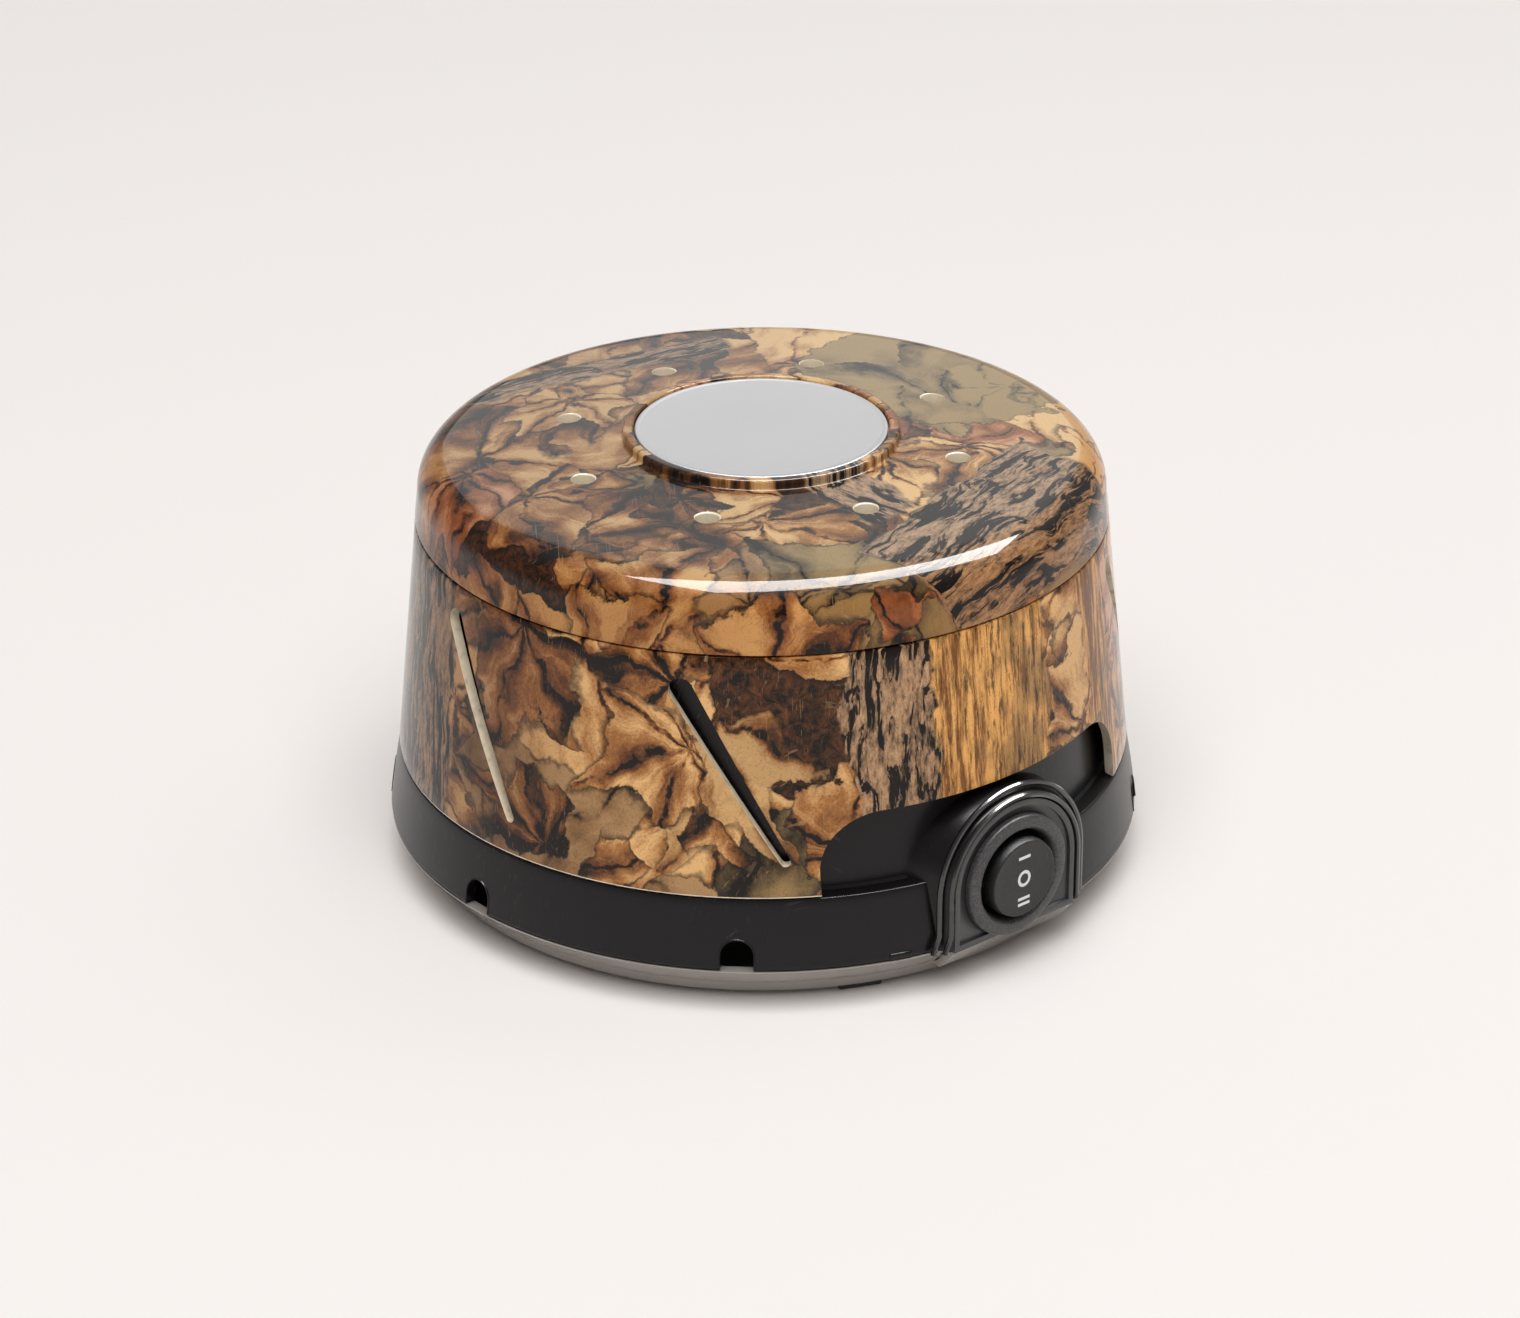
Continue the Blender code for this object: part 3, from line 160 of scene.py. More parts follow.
class MachineSizes(bpy.types.PropertyGroup):
    """Lengths of the finished pieces that the frame leaves open."""

    wall: size("Housing wall", 2.2, "Wall of the black housing")
    collar_wall: size("Collar wall", 2.0, "Wall of the printed collar")
    cap_wall: size("Cap wall", 2.4, "Wall of the printed cap")
    shoulder_width: size("Shoulder width", 8.0, "How far the cap's rounded shoulder reaches inwards")
    shoulder_height: size("Shoulder height", 7.3, "Height of the cap's rounded shoulder")
    rim_height: size("Cap rim", 5.6, "Height of the cap's steep rim under the shoulder")
    rim_taper: size("Cap rim taper", 0.6, "How much narrower the rim is at the shoulder")
    crown_rise: size("Crown rise", 1.8, "How much the cap rises from its shoulder to the badge")
    ring_rise: size("Badge ring rise", 1.9, "How far the badge ring stands above the crown")
    ring_width: size("Badge ring width", 2.0, "Width of the ring round the badge")
    skirt_taper: size("Skirt taper", 2.1, "How much narrower the skirt is at the ledge")
    edge: size("Edge radius", 0.35, "Radius of the moulded edges")
    slot_top: size("Slot top radius", 2.3, "Radius of a slot's wide upper end")
    slot_foot: size("Slot foot radius", 0.95, "Radius of a slot's narrow lower end")
    air_hole: size("Air hole radius", 2.25, "Radius of the holes in the cap")
    window_width: size("Window width", 6.2, "Width of the windows at the foot of the skirt")
    window_height: size("Window height", 5.9, "Height of the windows at the foot of the skirt")
    cutout_half: size("Cutout half width", 36.5, "Half the width of the collar's cutout over the switch")
    cutout_height: size("Cutout height", 15.5, "Height of the collar's cutout")
    cutout_corner: size("Cutout corner", 11.0, "Radius of the cutout's upper corners")
    hood_wall: size("Hood wall", 1.1, "Width of the hood's rim round the switch panel")
    bead: size("Hood bead", 0.55, "Radius of the bead that runs round the hood's rim")
    mark_stroke: size("Mark stroke", 0.6, "Width of the lines of the switch marks")
    mark_length: size("Mark length", 2.9, "Length of the bars of the switch marks")


class MachineColours(bpy.types.PropertyGroup):
    """Colours of the finished pieces."""

    cream_leaf: colour("Cream leaf", 236, 196, 138, "Lightest flesh of the printed leaves")
    tan_leaf: colour("Tan leaf", 172, 120, 68, "Middle tone of the printed leaves")
    brown_leaf: colour("Brown leaf", 104, 64, 32, "Dark tone of the printed leaves")
    rust_leaf: colour("Rust leaf", 166, 104, 62, "Red brown leaves of the print")
    rose_leaf: colour("Rose leaf", 224, 172, 134, "Pale red leaves of the print")
    olive_leaf: colour("Olive leaf", 146, 124, 84, "Green leaves of the print")
    shade: colour("Shade", 18, 11, 7, "Gaps between the printed leaves")
    bark_light: colour("Light bark", 184, 152, 120, "Ridges of the printed bark")
    bark_dark: colour("Dark bark", 40, 32, 28, "Furrows of the printed bark")
    plank_light: colour("Light plank", 236, 182, 108, "Light grain of the printed planks")
    plank_dark: colour("Dark plank", 132, 86, 40, "Dark grain of the printed planks")
    bare_plastic: colour("Bare plastic", 240, 226, 200, "Unprinted plastic at the cut edges")
    black_plastic: colour("Black plastic", 17, 15, 17, "Housing and base")
    # A light grey standing in for light reflected on the black pan's rim: a painted reflection
    pan_plastic: colour("Pan plastic", 156, 150, 145, "Base pan")
    panel_plastic: colour("Panel plastic", 60, 59, 60, "Switch panel")
    switch_plastic: colour("Switch plastic", 34, 34, 35, "Bezel and rocker")
    rubber: colour("Rubber", 40, 40, 41, "Feet, grommet and motor mounts")
    badge: colour("Badge", 178, 178, 180, "Badge disc")
    mark: colour("Marks", 236, 236, 234, "Marks on the rocker")
    backdrop: colour("Backdrop", 240, 236, 233, "Floor and surroundings")


def mm_of(name):
    """One of the user's lengths, in millimetres."""
    return getattr(bpy.context.scene.machine_sizes, name) / MM


def paint_of(name):
    """One of the user's colours, with full alpha."""
    return (*getattr(bpy.context.scene.machine_colours, name), 1.0)


def place(azimuth, radius, height=0.0):
    """A point by azimuth, radius and height, in millimetres."""
    angle = math.radians(azimuth)
    return Vector((radius * math.sin(angle), -radius * math.cos(angle), height))


def arc(centre, across, up, start, end, steps):
    """Points on a quarter or more of an ellipse, between two angles in degrees."""
    points = []
    for step in range(steps + 1):
        angle = math.radians(start + (end - start) * step / steps)
        points.append((centre[0] + across * math.cos(angle), centre[1] + up * math.sin(angle)))
    return points


# ---------------------------------------------------------------- modelling


def start(primitive, name, **settings):
    """Deselect everything, add a primitive and return it."""
    if bpy.context.mode != "OBJECT":
        bpy.ops.object.mode_set(mode="OBJECT")
    bpy.ops.object.select_all(action="DESELECT")
    primitive(**settings)
    piece = bpy.context.object
    piece.name = name
    piece.data.name = name
    bpy.ops.object.transform_apply(location=True, rotation=True, scale=True)
    return piece


def edit():
    bpy.ops.object.mode_set(mode="EDIT")
    bpy.ops.mesh.select_mode(type="VERT")
    bpy.ops.mesh.select_all(action="SELECT")


def finish_edit():
    """Merge doubles, turn every face outwards and leave edit mode."""
    bpy.ops.mesh.select_all(action="SELECT")
    bpy.ops.mesh.remove_doubles(threshold=WELD_M)
    bpy.ops.mesh.normals_make_consistent(inside=False)
    bpy.ops.object.mode_set(mode="OBJECT")


def only(piece):
    """Make a piece the only one selected, and active."""
    bpy.ops.object.select_all(action="DESELECT")
    piece.select_set(True)
    bpy.context.view_layer.objects.active = piece
    return piece


def pick(piece, test):
    """In edit mode, select the vertices whose place in millimetres passes a test."""
    bpy.ops.mesh.select_all(action="DESELECT")
    bpy.ops.object.mode_set(mode="OBJECT")
    for vertex in piece.data.vertices:
        vertex.select = bool(test(vertex.co / MM))
    bpy.ops.object.mode_set(mode="EDIT")


def round_edges(piece, radius, steps, test):
    """Bevel the edges whose two ends, in millimetres, pass a test."""
    only(piece)
    edit()
    bpy.ops.mesh.select_mode(type="EDGE")
    bpy.ops.mesh.select_all(action="DESELECT")
    bpy.ops.object.mode_set(mode="OBJECT")
    for side in piece.data.edges:
        near, far = (piece.data.vertices[index].co / MM for index in side.vertices)
        side.select = test(near, far)
    bpy.ops.object.mode_set(mode="EDIT")
    bpy.ops.mesh.bevel(offset=radius * MM, segments=steps, affect="EDGES")
    finish_edit()
    return piece


def lathe(name, profile, sides=LARGE_SIDES, solid=True):
    """A turned piece: a ring is drawn at the first radius and height, then pushed from point to point.

    A solid one is closed by a disc at both ends; otherwise the last point joins the first.
    """
    points = list(profile) if solid else list(profile) + [profile[0]]
    radius, height = points[0]
    piece = start(
        bpy.ops.mesh.primitive_circle_add,
        name,
        vertices=sides,
        radius=radius * MM,
        fill_type="NGON" if solid else "NOTHING",
        location=(0.0, 0.0, height * MM),
    )
    edit()
    for (near_r, near_z), (far_r, far_z) in zip(points, points[1:]):
        bpy.ops.mesh.extrude_region_move(
            TRANSFORM_OT_translate={"value": (0.0, 0.0, (far_z - near_z) * MM)}
        )
        grow = far_r / near_r
        bpy.ops.transform.resize(value=(grow, grow, 1.0), center_override=(0.0, 0.0, far_z * MM))
    finish_edit()
    return piece


def block(name, low, high, edge=0.0, steps=3):
    """A box between two corners, its edges rounded."""
    low, high = Vector(low), Vector(high)
    piece = start(bpy.ops.mesh.primitive_cube_add, name, size=1.0)
    edit()
    bpy.ops.transform.resize(value=(high - low) * MM, center_override=(0.0, 0.0, 0.0))
    bpy.ops.transform.translate(value=(low + high) / 2 * MM)
    if edge:
        bpy.ops.mesh.bevel(offset=edge * MM, segments=steps, affect="EDGES")
    finish_edit()
    return piece


def rod(name, radius, near, far, sides=SMALL_SIDES):
    """A cylinder between two points."""
    near, far = Vector(near), Vector(far)
    way = far - near
    return start(
        bpy.ops.mesh.primitive_cylinder_add,
        name,
        vertices=sides,
        radius=radius * MM,
        depth=way.length * MM,
        location=(near + far) / 2 * MM,
        rotation=way.to_track_quat("Z", "Y").to_euler(),
    )


def put(piece, where=(0.0, 0.0, 0.0), turned=(0.0, 0.0, 0.0)):
    """Turn a piece, then move it by millimetres, and apply both."""
    only(piece)
    piece.rotation_euler = turned
    piece.location = Vector(where) * MM
    bpy.ops.object.transform_apply(location=True, rotation=True, scale=True)
    return piece


def turn(piece, azimuth):
    """Turn a piece about Z."""
    return put(piece, turned=(0.0, 0.0, math.radians(azimuth)))


def face_front(piece, y, z):
    """Lay a piece that was turned about Z along Y, its top towards -Y, and put its origin at (y, z)."""
    return put(piece, (0.0, y, z), (math.pi / 2, 0.0, 0.0))


def copies(piece, azimuths):
    """Copies of a piece at several azimuths, joined into one. The first piece is used up."""
    made = []
    for azimuth in azimuths:
        other = piece.copy()
        other.data = piece.data.copy()
        bpy.context.scene.collection.objects.link(other)
        made.append(turn(other, azimuth))
    bpy.data.objects.remove(piece)
    return merged(made)


def merged(pieces):
    """Several pieces as one object."""
    bpy.ops.object.select_all(action="DESELECT")
    for piece in pieces:
        piece.select_set(True)
    bpy.context.view_layer.objects.active = pieces[0]
    if len(pieces) > 1:
        bpy.ops.object.join()
    return bpy.context.object


def applied(piece, kind, **settings):
    """Add a modifier with its settings and apply it."""
    only(piece)
    modifier = piece.modifiers.new(kind.lower(), kind)
    for name, value in settings.items():
        setattr(modifier, name, value)
    bpy.ops.object.modifier_apply(modifier=modifier.name)
    return piece


def boolean(piece, tool, operation):
    """Cut, join or intersect with a tool, whose own finish stays on the faces that it makes."""
    applied(
        piece, "BOOLEAN", object=tool, operation=operation, solver="EXACT", material_mode="TRANSFER"
    )
    bpy.data.objects.remove(tool)
    return piece


def cut(piece, *tools):
    for tool in tools:
        boolean(piece, tool, "DIFFERENCE")
    return piece


def join(piece, *tools):
    for tool in tools:
        boolean(piece, tool, "UNION")
    return piece


def smooth(piece, angle=SMOOTH_ANGLE):
    only(piece)
    bpy.ops.object.shade_smooth_by_angle(angle=angle)
    return piece


def finished(piece, body, slot, *nodes):
    """Shade a piece, let it ride on its body, and let it stand for nodes of the frame."""
    smooth(piece)
    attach(piece, body)
    if nodes:
        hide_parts(*nodes)
    return piece


def dress(piece, *finishes):
    """Give a piece its finishes, in slot order."""
    piece.data.materials.clear()
    for finish in finishes:
        piece.data.materials.append(finish)
    return piece


def arch_block(name, half, centre_z, foot_z, depths, sides=MIDDLE_SIDES):
    """An arch on two legs, pushed back in steps. Each depth is (y, side stretch, top stretch)."""
    front_y = depths[0][0]
    piece = start(
        bpy.ops.mesh.primitive_circle_add,
        name,
        vertices=sides,
        radius=half * MM,
        location=(0.0, front_y * MM, centre_z * MM),
        rotation=(math.pi / 2, 0.0, 0.0),
    )
    edge = half / sides
    edit()
    pick(piece, lambda point: point.z < centre_z - edge)
    bpy.ops.mesh.delete(type="VERT")
    pick(piece, lambda point: point.z < centre_z + edge)
    bpy.ops.mesh.extrude_region_move(
        TRANSFORM_OT_translate={"value": (0.0, 0.0, (foot_z - centre_z) * MM)}
    )
    bpy.ops.mesh.select_all(action="SELECT")
    bpy.ops.mesh.edge_face_add()
    for (near_y, near_side, near_top), (far_y, far_side, far_top) in zip(depths, depths[1:]):
        bpy.ops.mesh.extrude_region_move(
            TRANSFORM_OT_translate={"value": (0.0, (far_y - near_y) * MM, 0.0)}
        )
        grow_x = far_side / near_side
        grow_z = far_top / near_top
        bpy.ops.transform.resize(
            value=(grow_x, 1.0, grow_z), center_override=(0.0, far_y * MM, foot_z * MM)
        )
    finish_edit()
    return piece


def slot_tool(name, turn_by, inner, outer):
    """The cutter of all the slots: each is the hull of a wide upper and a narrow lower rod."""
    lean = math.radians(SLOT_SLANT / 2) * LEDGE_R
    ends = [
        (-lean, COLLAR_HIGH.z - SLOT_TOP_BELOW_RIM, mm_of("slot_top")),
        (lean, COLLAR_LOW.z + SLOT_FOOT_ABOVE_RIM, mm_of("slot_foot")),
    ]
    rods = [rod(name, radius, (x, -inner, z), (x, -outer, z)) for x, z, radius in ends]
    tool = merged(rods)
    edit()
    bpy.ops.mesh.convex_hull()
    finish_edit()
    middle = SLOT_TOP_AZIMUTH + SLOT_SLANT / 2 + turn_by
    return copies(tool, [middle + SLOT_PITCH * step for step in range(1, SLOT_COUNT + 1)])


# ---------------------------------------------------------------- finishes


class Signal:
    """A socket of a finish, with the arithmetic that its values need."""

    def __init__(self, finish, socket):
        self.finish = finish
        self.socket = socket

    def __add__(self, other):
        return self.finish.math("ADD", self, other)

    def __radd__(self, other):
        return self.finish.math("ADD", other, self)

    def __sub__(self, other):
        return self.finish.math("SUBTRACT", self, other)

    def __rsub__(self, other):
        return self.finish.math("SUBTRACT", other, self)

    def __mul__(self, other):
        return self.finish.math("MULTIPLY", self, other)

    def __rmul__(self, other):
        return self.finish.math("MULTIPLY", other, self)

    def __truediv__(self, other):
        return self.finish.math("DIVIDE", self, other)

    def __rtruediv__(self, other):
        return self.finish.math("DIVIDE", other, self)

    def __abs__(self):
        return self.finish.math("ABSOLUTE", self)


class Finish:
    """A material under construction: one Principled shader and the nodes that feed it."""

    def __init__(self, name, **uniform):
        self.material = bpy.data.materials.new(name)
        self.material.use_nodes = True
        self.tree = self.material.node_tree
        self.shader = self.tree.nodes["Principled BSDF"]
        for socket, value in uniform.items():
            self.shader.inputs[socket.replace("_", " ").title().replace("Ior", "IOR")].default_value = value
        spot = self.node("ShaderNodeTexCoord")["Object"]
        self.spot = self.vector("SCALE", spot, scale=1.0 / MM)

    def node(self, kind, settings=None, inputs=None):
        """Any node: its type, its settings, then the values or links of its sockets."""
        made = self.tree.nodes.new(kind)
        for name, value in (settings or {}).items():
            if name == "stops":
                ramp = made.color_ramp
                while len(ramp.elements) < len(value):
                    ramp.elements.new(0.5)
                for element, (position, shown) in zip(ramp.elements, value):
                    element.position = position
                    element.color = shown
            else:
                setattr(made, name, value)
        for key, value in (inputs or {}).items():
            socket = made.inputs[key]
            if isinstance(value, Signal):
                self.tree.links.new(value.socket, socket)
            else:
                socket.default_value = value
        outputs = {socket.name: Signal(self, socket) for socket in made.outputs}
        outputs.update(enumerate(Signal(self, socket) for socket in made.outputs))
        return outputs

    def math(self, operation, *values):
        return self.node("ShaderNodeMath", {"operation": operation}, dict(enumerate(values)))[0]

    def vector(self, operation, *vectors, scale=None):
        inputs = dict(enumerate(vectors))
        if scale is not None:
            inputs["Scale"] = scale
        output = "Value" if operation in ("DOT_PRODUCT", "LENGTH", "DISTANCE") else "Vector"
        return self.node("ShaderNodeVectorMath", {"operation": operation}, inputs)[output]

    def parts(self, vector):
        made = self.node("ShaderNodeSeparateXYZ", inputs={0: vector})
        return made["X"], made["Y"], made["Z"]

    def point(self, x=0.0, y=0.0, z=0.0):
        return self.node("ShaderNodeCombineXYZ", inputs={0: x, 1: y, 2: z})[0]

    def step(self, value, low, high, flip=False):
        """0 below low, 1 above high and smooth between, or the other way round."""
        ends = {1: low, 2: high, 3: 1.0 if flip else 0.0, 4: 0.0 if flip else 1.0}
        return self.node("ShaderNodeMapRange", {"interpolation_type": "SMOOTHSTEP"}, {0: value, **ends})[0]

    def noise(self, where, scale, detail=3.0, rough=0.55, warp=0.0, shown="Fac"):
        inputs = {"Vector": where, "Scale": scale, "Detail": detail, "Roughness": rough, "Distortion": warp}
        return self.node("ShaderNodeTexNoise", inputs=inputs)[shown]

    def mix(self, share, low, high, way="MIX"):
        settings = {"data_type": "RGBA", "blend_type": way}
        return self.node("ShaderNodeMix", settings, {0: share, 6: low, 7: high})[2]

    def ramp(self, value, *stops):
        return self.node("ShaderNodeValToRGB", {"stops": stops}, {0: value})[0]

    def bump(self, height, depth, strength=1.0):
        """Relief from a height between 0 and 1, at a depth in millimetres."""
        inputs = {"Strength": strength, "Distance": depth * MM, "Height": height}
        return self.node("ShaderNodeBump", inputs=inputs)[0]

    def feed(self, **signals):
        """Link signals to the shader: base_color, roughness, coat_weight, metallic or normal."""
        for name, signal in signals.items():
            self.tree.links.new(signal.socket, self.shader.inputs[name.replace("_", " ").title()])
        return self.material


def shaded(colour_value, share):
    """A colour with its light scaled, and its alpha kept."""
    return (*(level * share for level in colour_value[:3]), 1.0)


# The print: how many veins half a turn about a leaf's foot crosses, the cell of the lowest leaves in mm, and
# for each layer over them the cell, a shift that makes it differ, and the share of cells that stay empty
VEINS = 3.6
FILM_CELL = 36.0
LEAF_LAYERS = ((31.0, (3.0, 41.0, 17.0), 0.22), (23.0, (61.0, 23.0, 37.0), 0.50))
WARM_TINT = (0.86, 0.52, 0.20, 1.0)
# Tint multiplied over one side of the collar and cap: a painted shade
SIDE_SHADE_TINT = (0.34, 0.27, 0.22, 1.0)
# Where bark and planks stand on the collar: from and to in degrees of azimuth, and the softness of the ends
BARK_SPANS = ((-25.5, -12.0, 0.5), (-140.0, -97.0, 0.7), (82.0, 104.0, 0.6))
PLANK_SPANS = ((-12.0, 11.0, 0.5), (22.0, 33.0, 0.5), (138.0, 158.0, 0.6))


def warped(finish, where, cell):
    """Places pushed about by a coarse and a fine noise, so that outlines come out lobed and ragged."""
    coarse = finish.noise(where, 1.1 / cell, 2.0, 0.5, shown="Color")
    fine = finish.noise(where, 5.5 / cell, 3.0, 0.6, shown="Color")
    centred = finish.vector("SUBTRACT", coarse, (0.5, 0.5, 0.5))
    ragged = finish.vector("SUBTRACT", fine, (0.5, 0.5, 0.5))
    moved = finish.vector("ADD", where, finish.vector("SCALE", centred, scale=cell * 0.8))
    return finish.vector("ADD", moved, finish.vector("SCALE", ragged, scale=cell * 0.16))


def leaves(finish, where, across, up, cell, shift):
    """A layer of overlapping leaves, one to a cell, each turned its own way.

    Gives its colour, the same in green, the distances in mm from the cell's edge and from the leaf's
    lobed edge, and two random numbers for each leaf.
    """
    moved = finish.vector("ADD", warped(finish, where, cell), shift)
    settings = {"voronoi_dimensions": "3D", "feature": "F1"}
    near = finish.node("ShaderNodeTexVoronoi", settings, {"Vector": moved, "Scale": 1.0 / cell})
    settings = {"voronoi_dimensions": "3D", "feature": "DISTANCE_TO_EDGE"}
    rim = finish.node("ShaderNodeTexVoronoi", settings, {"Vector": moved, "Scale": 1.0 / cell})
    edge = rim["Distance"] * cell
    chance, kind, tint = finish.parts(near["Color"])
    offset = finish.vector("SUBTRACT", moved, near["Position"])
    flat_x = finish.vector("DOT_PRODUCT", offset, across)
    flat_y = finish.vector("DOT_PRODUCT", offset, up)
    angle = chance * math.tau * 3.0
    cosine = finish.math("COSINE", angle)
    sine = finish.math("SINE", angle)
    along = flat_x * cosine + flat_y * sine + cell * 0.42
    aside = flat_y * cosine - flat_x * sine
    wobble = finish.noise(where, 0.14, 2.0, 0.5) - 0.5
    ragged = finish.noise(where, 1.0, 2.0, 0.6) - 0.5
    spoke = finish.math("ARCTAN2", aside + wobble * 5.0, along)
    reach = finish.math("SQRT", along * along + aside * aside)
    lobe = abs(finish.math("SINE", spoke * VEINS))
    span_mm = cell * (1.06 - lobe * 0.46) * (0.74 + finish.math("COSINE", spoke) * 0.26)
    inside = span_mm - reach + wobble * 4.0 + ragged * 2.2
    from_vein = reach * lobe / VEINS + ragged * 0.7
    broken = finish.step(finish.noise(where, 0.3, 2.0), 0.36, 0.56)
    vein = finish.step(from_vein, 0.10, 0.75, flip=True) * broken
    groove = finish.step(from_vein, 0.0, 3.4, flip=True)
    fold = finish.noise(where, 0.050, 2.0, 0.45, 0.8)
    ripple = finish.noise(where, 0.11, 2.0, 0.5, 0.6)
    strand = finish.point(spoke * 6.0, reach * 0.06, chance * 40.0)
    fibre = finish.noise(strand, 1.0, 3.0, 0.65) - 0.5
    fine = finish.noise(where, 1.7, 4.0, 0.8)
    tone = 0.74 + (fold - 0.5) * 1.5 + (ripple - 0.5) * 1.0 + (tint - 0.5) * 0.60 + fibre * 1.0
    tone = tone + lobe * 0.34 - 0.20 + (fine - 0.5) * 0.55
    tone = tone - vein * 0.45 - groove * 0.12
    tone = tone - finish.step(edge, 0.2, cell * 0.14, flip=True) * 0.12
    shade = paint_of("shade")
    brown = finish.ramp(
        tone,
        (0.06, shade),
        (0.32, paint_of("brown_leaf")),
        (0.60, paint_of("tan_leaf")),
        (0.96, paint_of("cream_leaf")),
    )
    red = finish.ramp(
        tone,
        (0.04, shade),
        (0.34, shaded(paint_of("rust_leaf"), 0.5)),
        (0.62, paint_of("rust_leaf")),
        (0.98, paint_of("rose_leaf")),
    )
    green = finish.ramp(
        tone,
        (0.04, shade),
        (0.36, shaded(paint_of("olive_leaf"), 0.42)),
        (0.70, paint_of("olive_leaf")),
        (1.0, shaded(paint_of("olive_leaf"), 1.35)),
    )
    drawn = finish.mix(finish.step(kind, 0.70, 0.71), brown, red)
    drawn = finish.mix(finish.step(kind, 0.88, 0.89), drawn, green)
    return drawn, green, edge, inside, (chance, kind)


def bark(finish, where):
    """Furrowed bark. The place given runs along Y of the furrows and across in X and Z."""
    lean = finish.noise(where, 0.05, 2.0) - 0.5
    swayed = finish.vector("ADD", where, finish.point(lean * 10.0, 0.0, lean * 10.0))
    ridges = finish.noise(finish.vector("MULTIPLY", swayed, (0.42, 0.045, 0.42)), 1.0, 3.0, 0.55, 0.7)
    splits = finish.noise(finish.vector("MULTIPLY", swayed, (0.9, 0.13, 0.9)), 1.0, 4.0, 0.65, 0.5)
    crack = finish.step(ridges + (splits - 0.5) * 0.55, 0.455, 0.515)
    grain = finish.noise(finish.vector("MULTIPLY", where, (1.0, 0.35, 1.0)), 1.1, 4.0, 0.75)
    light = finish.ramp(
        ridges * 0.5 + grain * 0.7 - 0.06,
        (0.36, paint_of("bark_dark")),
        (0.50, shaded(paint_of("bark_light"), 0.40)),
        (0.61, shaded(paint_of("bark_light"), 0.95)),
        (0.76, shaded(paint_of("bark_light"), 1.5)),
    )
    return finish.mix(crack, shaded(paint_of("shade"), 0.7), light)


def planks(finish, where):
    """Straight split wood. The place given runs along Y of the grain."""
    scaled = finish.vector("MULTIPLY", where, (0.8, 0.016, 0.8))
    grain = finish.noise(scaled, 1.0, 5.0, 0.72)
    wide = finish.noise(scaled, 0.22, 3.0, 0.5)
    dash = finish.vector("MULTIPLY", where, (1.3, 0.12, 1.3))
    streak = finish.step(finish.noise(dash, 0.9, 4.0, 0.7) + (wide - 0.5) * 0.45, 0.55, 0.66)
    light = finish.ramp(
        grain * 0.6 + wide * 0.4,
        (0.34, shaded(paint_of("plank_dark"), 0.7)),
        (0.45, paint_of("plank_dark")),
        (0.54, paint_of("plank_light")),
        (0.68, shaded(paint_of("plank_light"), 1.25)),
    )
    stain = finish.noise(where, 0.06, 3.0, 0.6)
    aged = finish.mix(finish.step(stain, 0.50, 0.62) * 0.55, light, shaded(paint_of("olive_leaf"), 0.55))
    return finish.mix(streak * 0.78, aged, paint_of("shade"))


def printed(name, layout):
    """The woodland print under its clear gloss coat.

    The layout gives the place on the film, its two directions, the places that the grain of planks and
    bark follows, and where bark, planks, the green leaf, the warm tint and the painted side shade lie.
    """
    finish = Finish(name, coat_weight=0.8, coat_roughness=0.03, coat_ior=1.36, ior=1.15)
    film, across, up, places, masks = layout(finish)
    grain_place, bark_place = places
    bark_mask, plank_mask, green_mask, warm_mask, side_shade_mask = masks
    low, low_green, low_edge, _, low_random = leaves(finish, film, across, up, FILM_CELL, (11.0, 5.0, 3.0))
    gap = finish.step(low_random[1], 0.12, 0.13, flip=True)
    litter = finish.noise(film, 0.40, 4.0, 0.7, 1.0)
    dark = finish.ramp(
        litter,
        (0.38, shaded(paint_of("shade"), 0.7)),
        (0.52, shaded(paint_of("brown_leaf"), 0.45)),
        (0.70, shaded(paint_of("brown_leaf"), 1.1)),
    )
    under = finish.mix(gap, low, dark)
    fray = finish.noise(film, 0.35, 3.0, 0.6)
    line = finish.step(low_edge + fray * 1.5, 0.55, 1.3, flip=True)
    under = finish.mix(line * 0.75, under, paint_of("shade"))
    for cell, shift, share in LEAF_LAYERS:
        flesh, _, border, inside, random = leaves(finish, film, across, up, cell, shift)
        depth = finish.math("MINIMUM", inside, border)
        there = finish.step(random[0], share, share + 0.01)
        covers = finish.step(depth, 0.0, 0.35) * there
        cast = finish.step(depth, -2.6, 0.2) * there * (0.35 + fray * 0.8)
        under = finish.mix(cast, under, shaded(paint_of("shade"), 0.8))
        rim = finish.step(depth, 0.2, 0.75, flip=True) * fray
        under = finish.mix(covers, under, finish.mix(rim, flesh, paint_of("shade")))
    both = finish.mix(plank_mask, under, planks(finish, grain_place))
    both = finish.mix(bark_mask, both, bark(finish, bark_place))
    both = finish.mix(green_mask, both, low_green)
    ragged = finish.step(abs(green_mask - 0.5), 0.30, 0.42, flip=True)
    both = finish.mix(ragged * 0.5, both, paint_of("shade"))
    speck = finish.step(finish.noise(film, 2.4, 2.0, 0.8), 0.35, 0.43, flip=True)
    mottle = finish.noise(film, 1.3, 4.0, 0.75)
    both = finish.mix(speck * 0.30, both, paint_of("shade"))
    golden = finish.mix(warm_mask, both, WARM_TINT, "MULTIPLY")
    # Painted shade: darkens the print on one side of the collar and cap
    golden = finish.mix(side_shade_mask * 0.75, golden, SIDE_SHADE_TINT, "MULTIPLY")
    # Real scratch lines, painted cream here as the glint of light along them: a painted highlight
    shown = finish.mix(scratches(finish) * 0.16, golden, paint_of("cream_leaf"))
    relief = finish.bump(mottle * 0.6 + fray * 0.4, 0.02, 0.25)
    return finish.feed(base_color=shown, roughness=0.40 + mottle * 0.16, normal=relief)


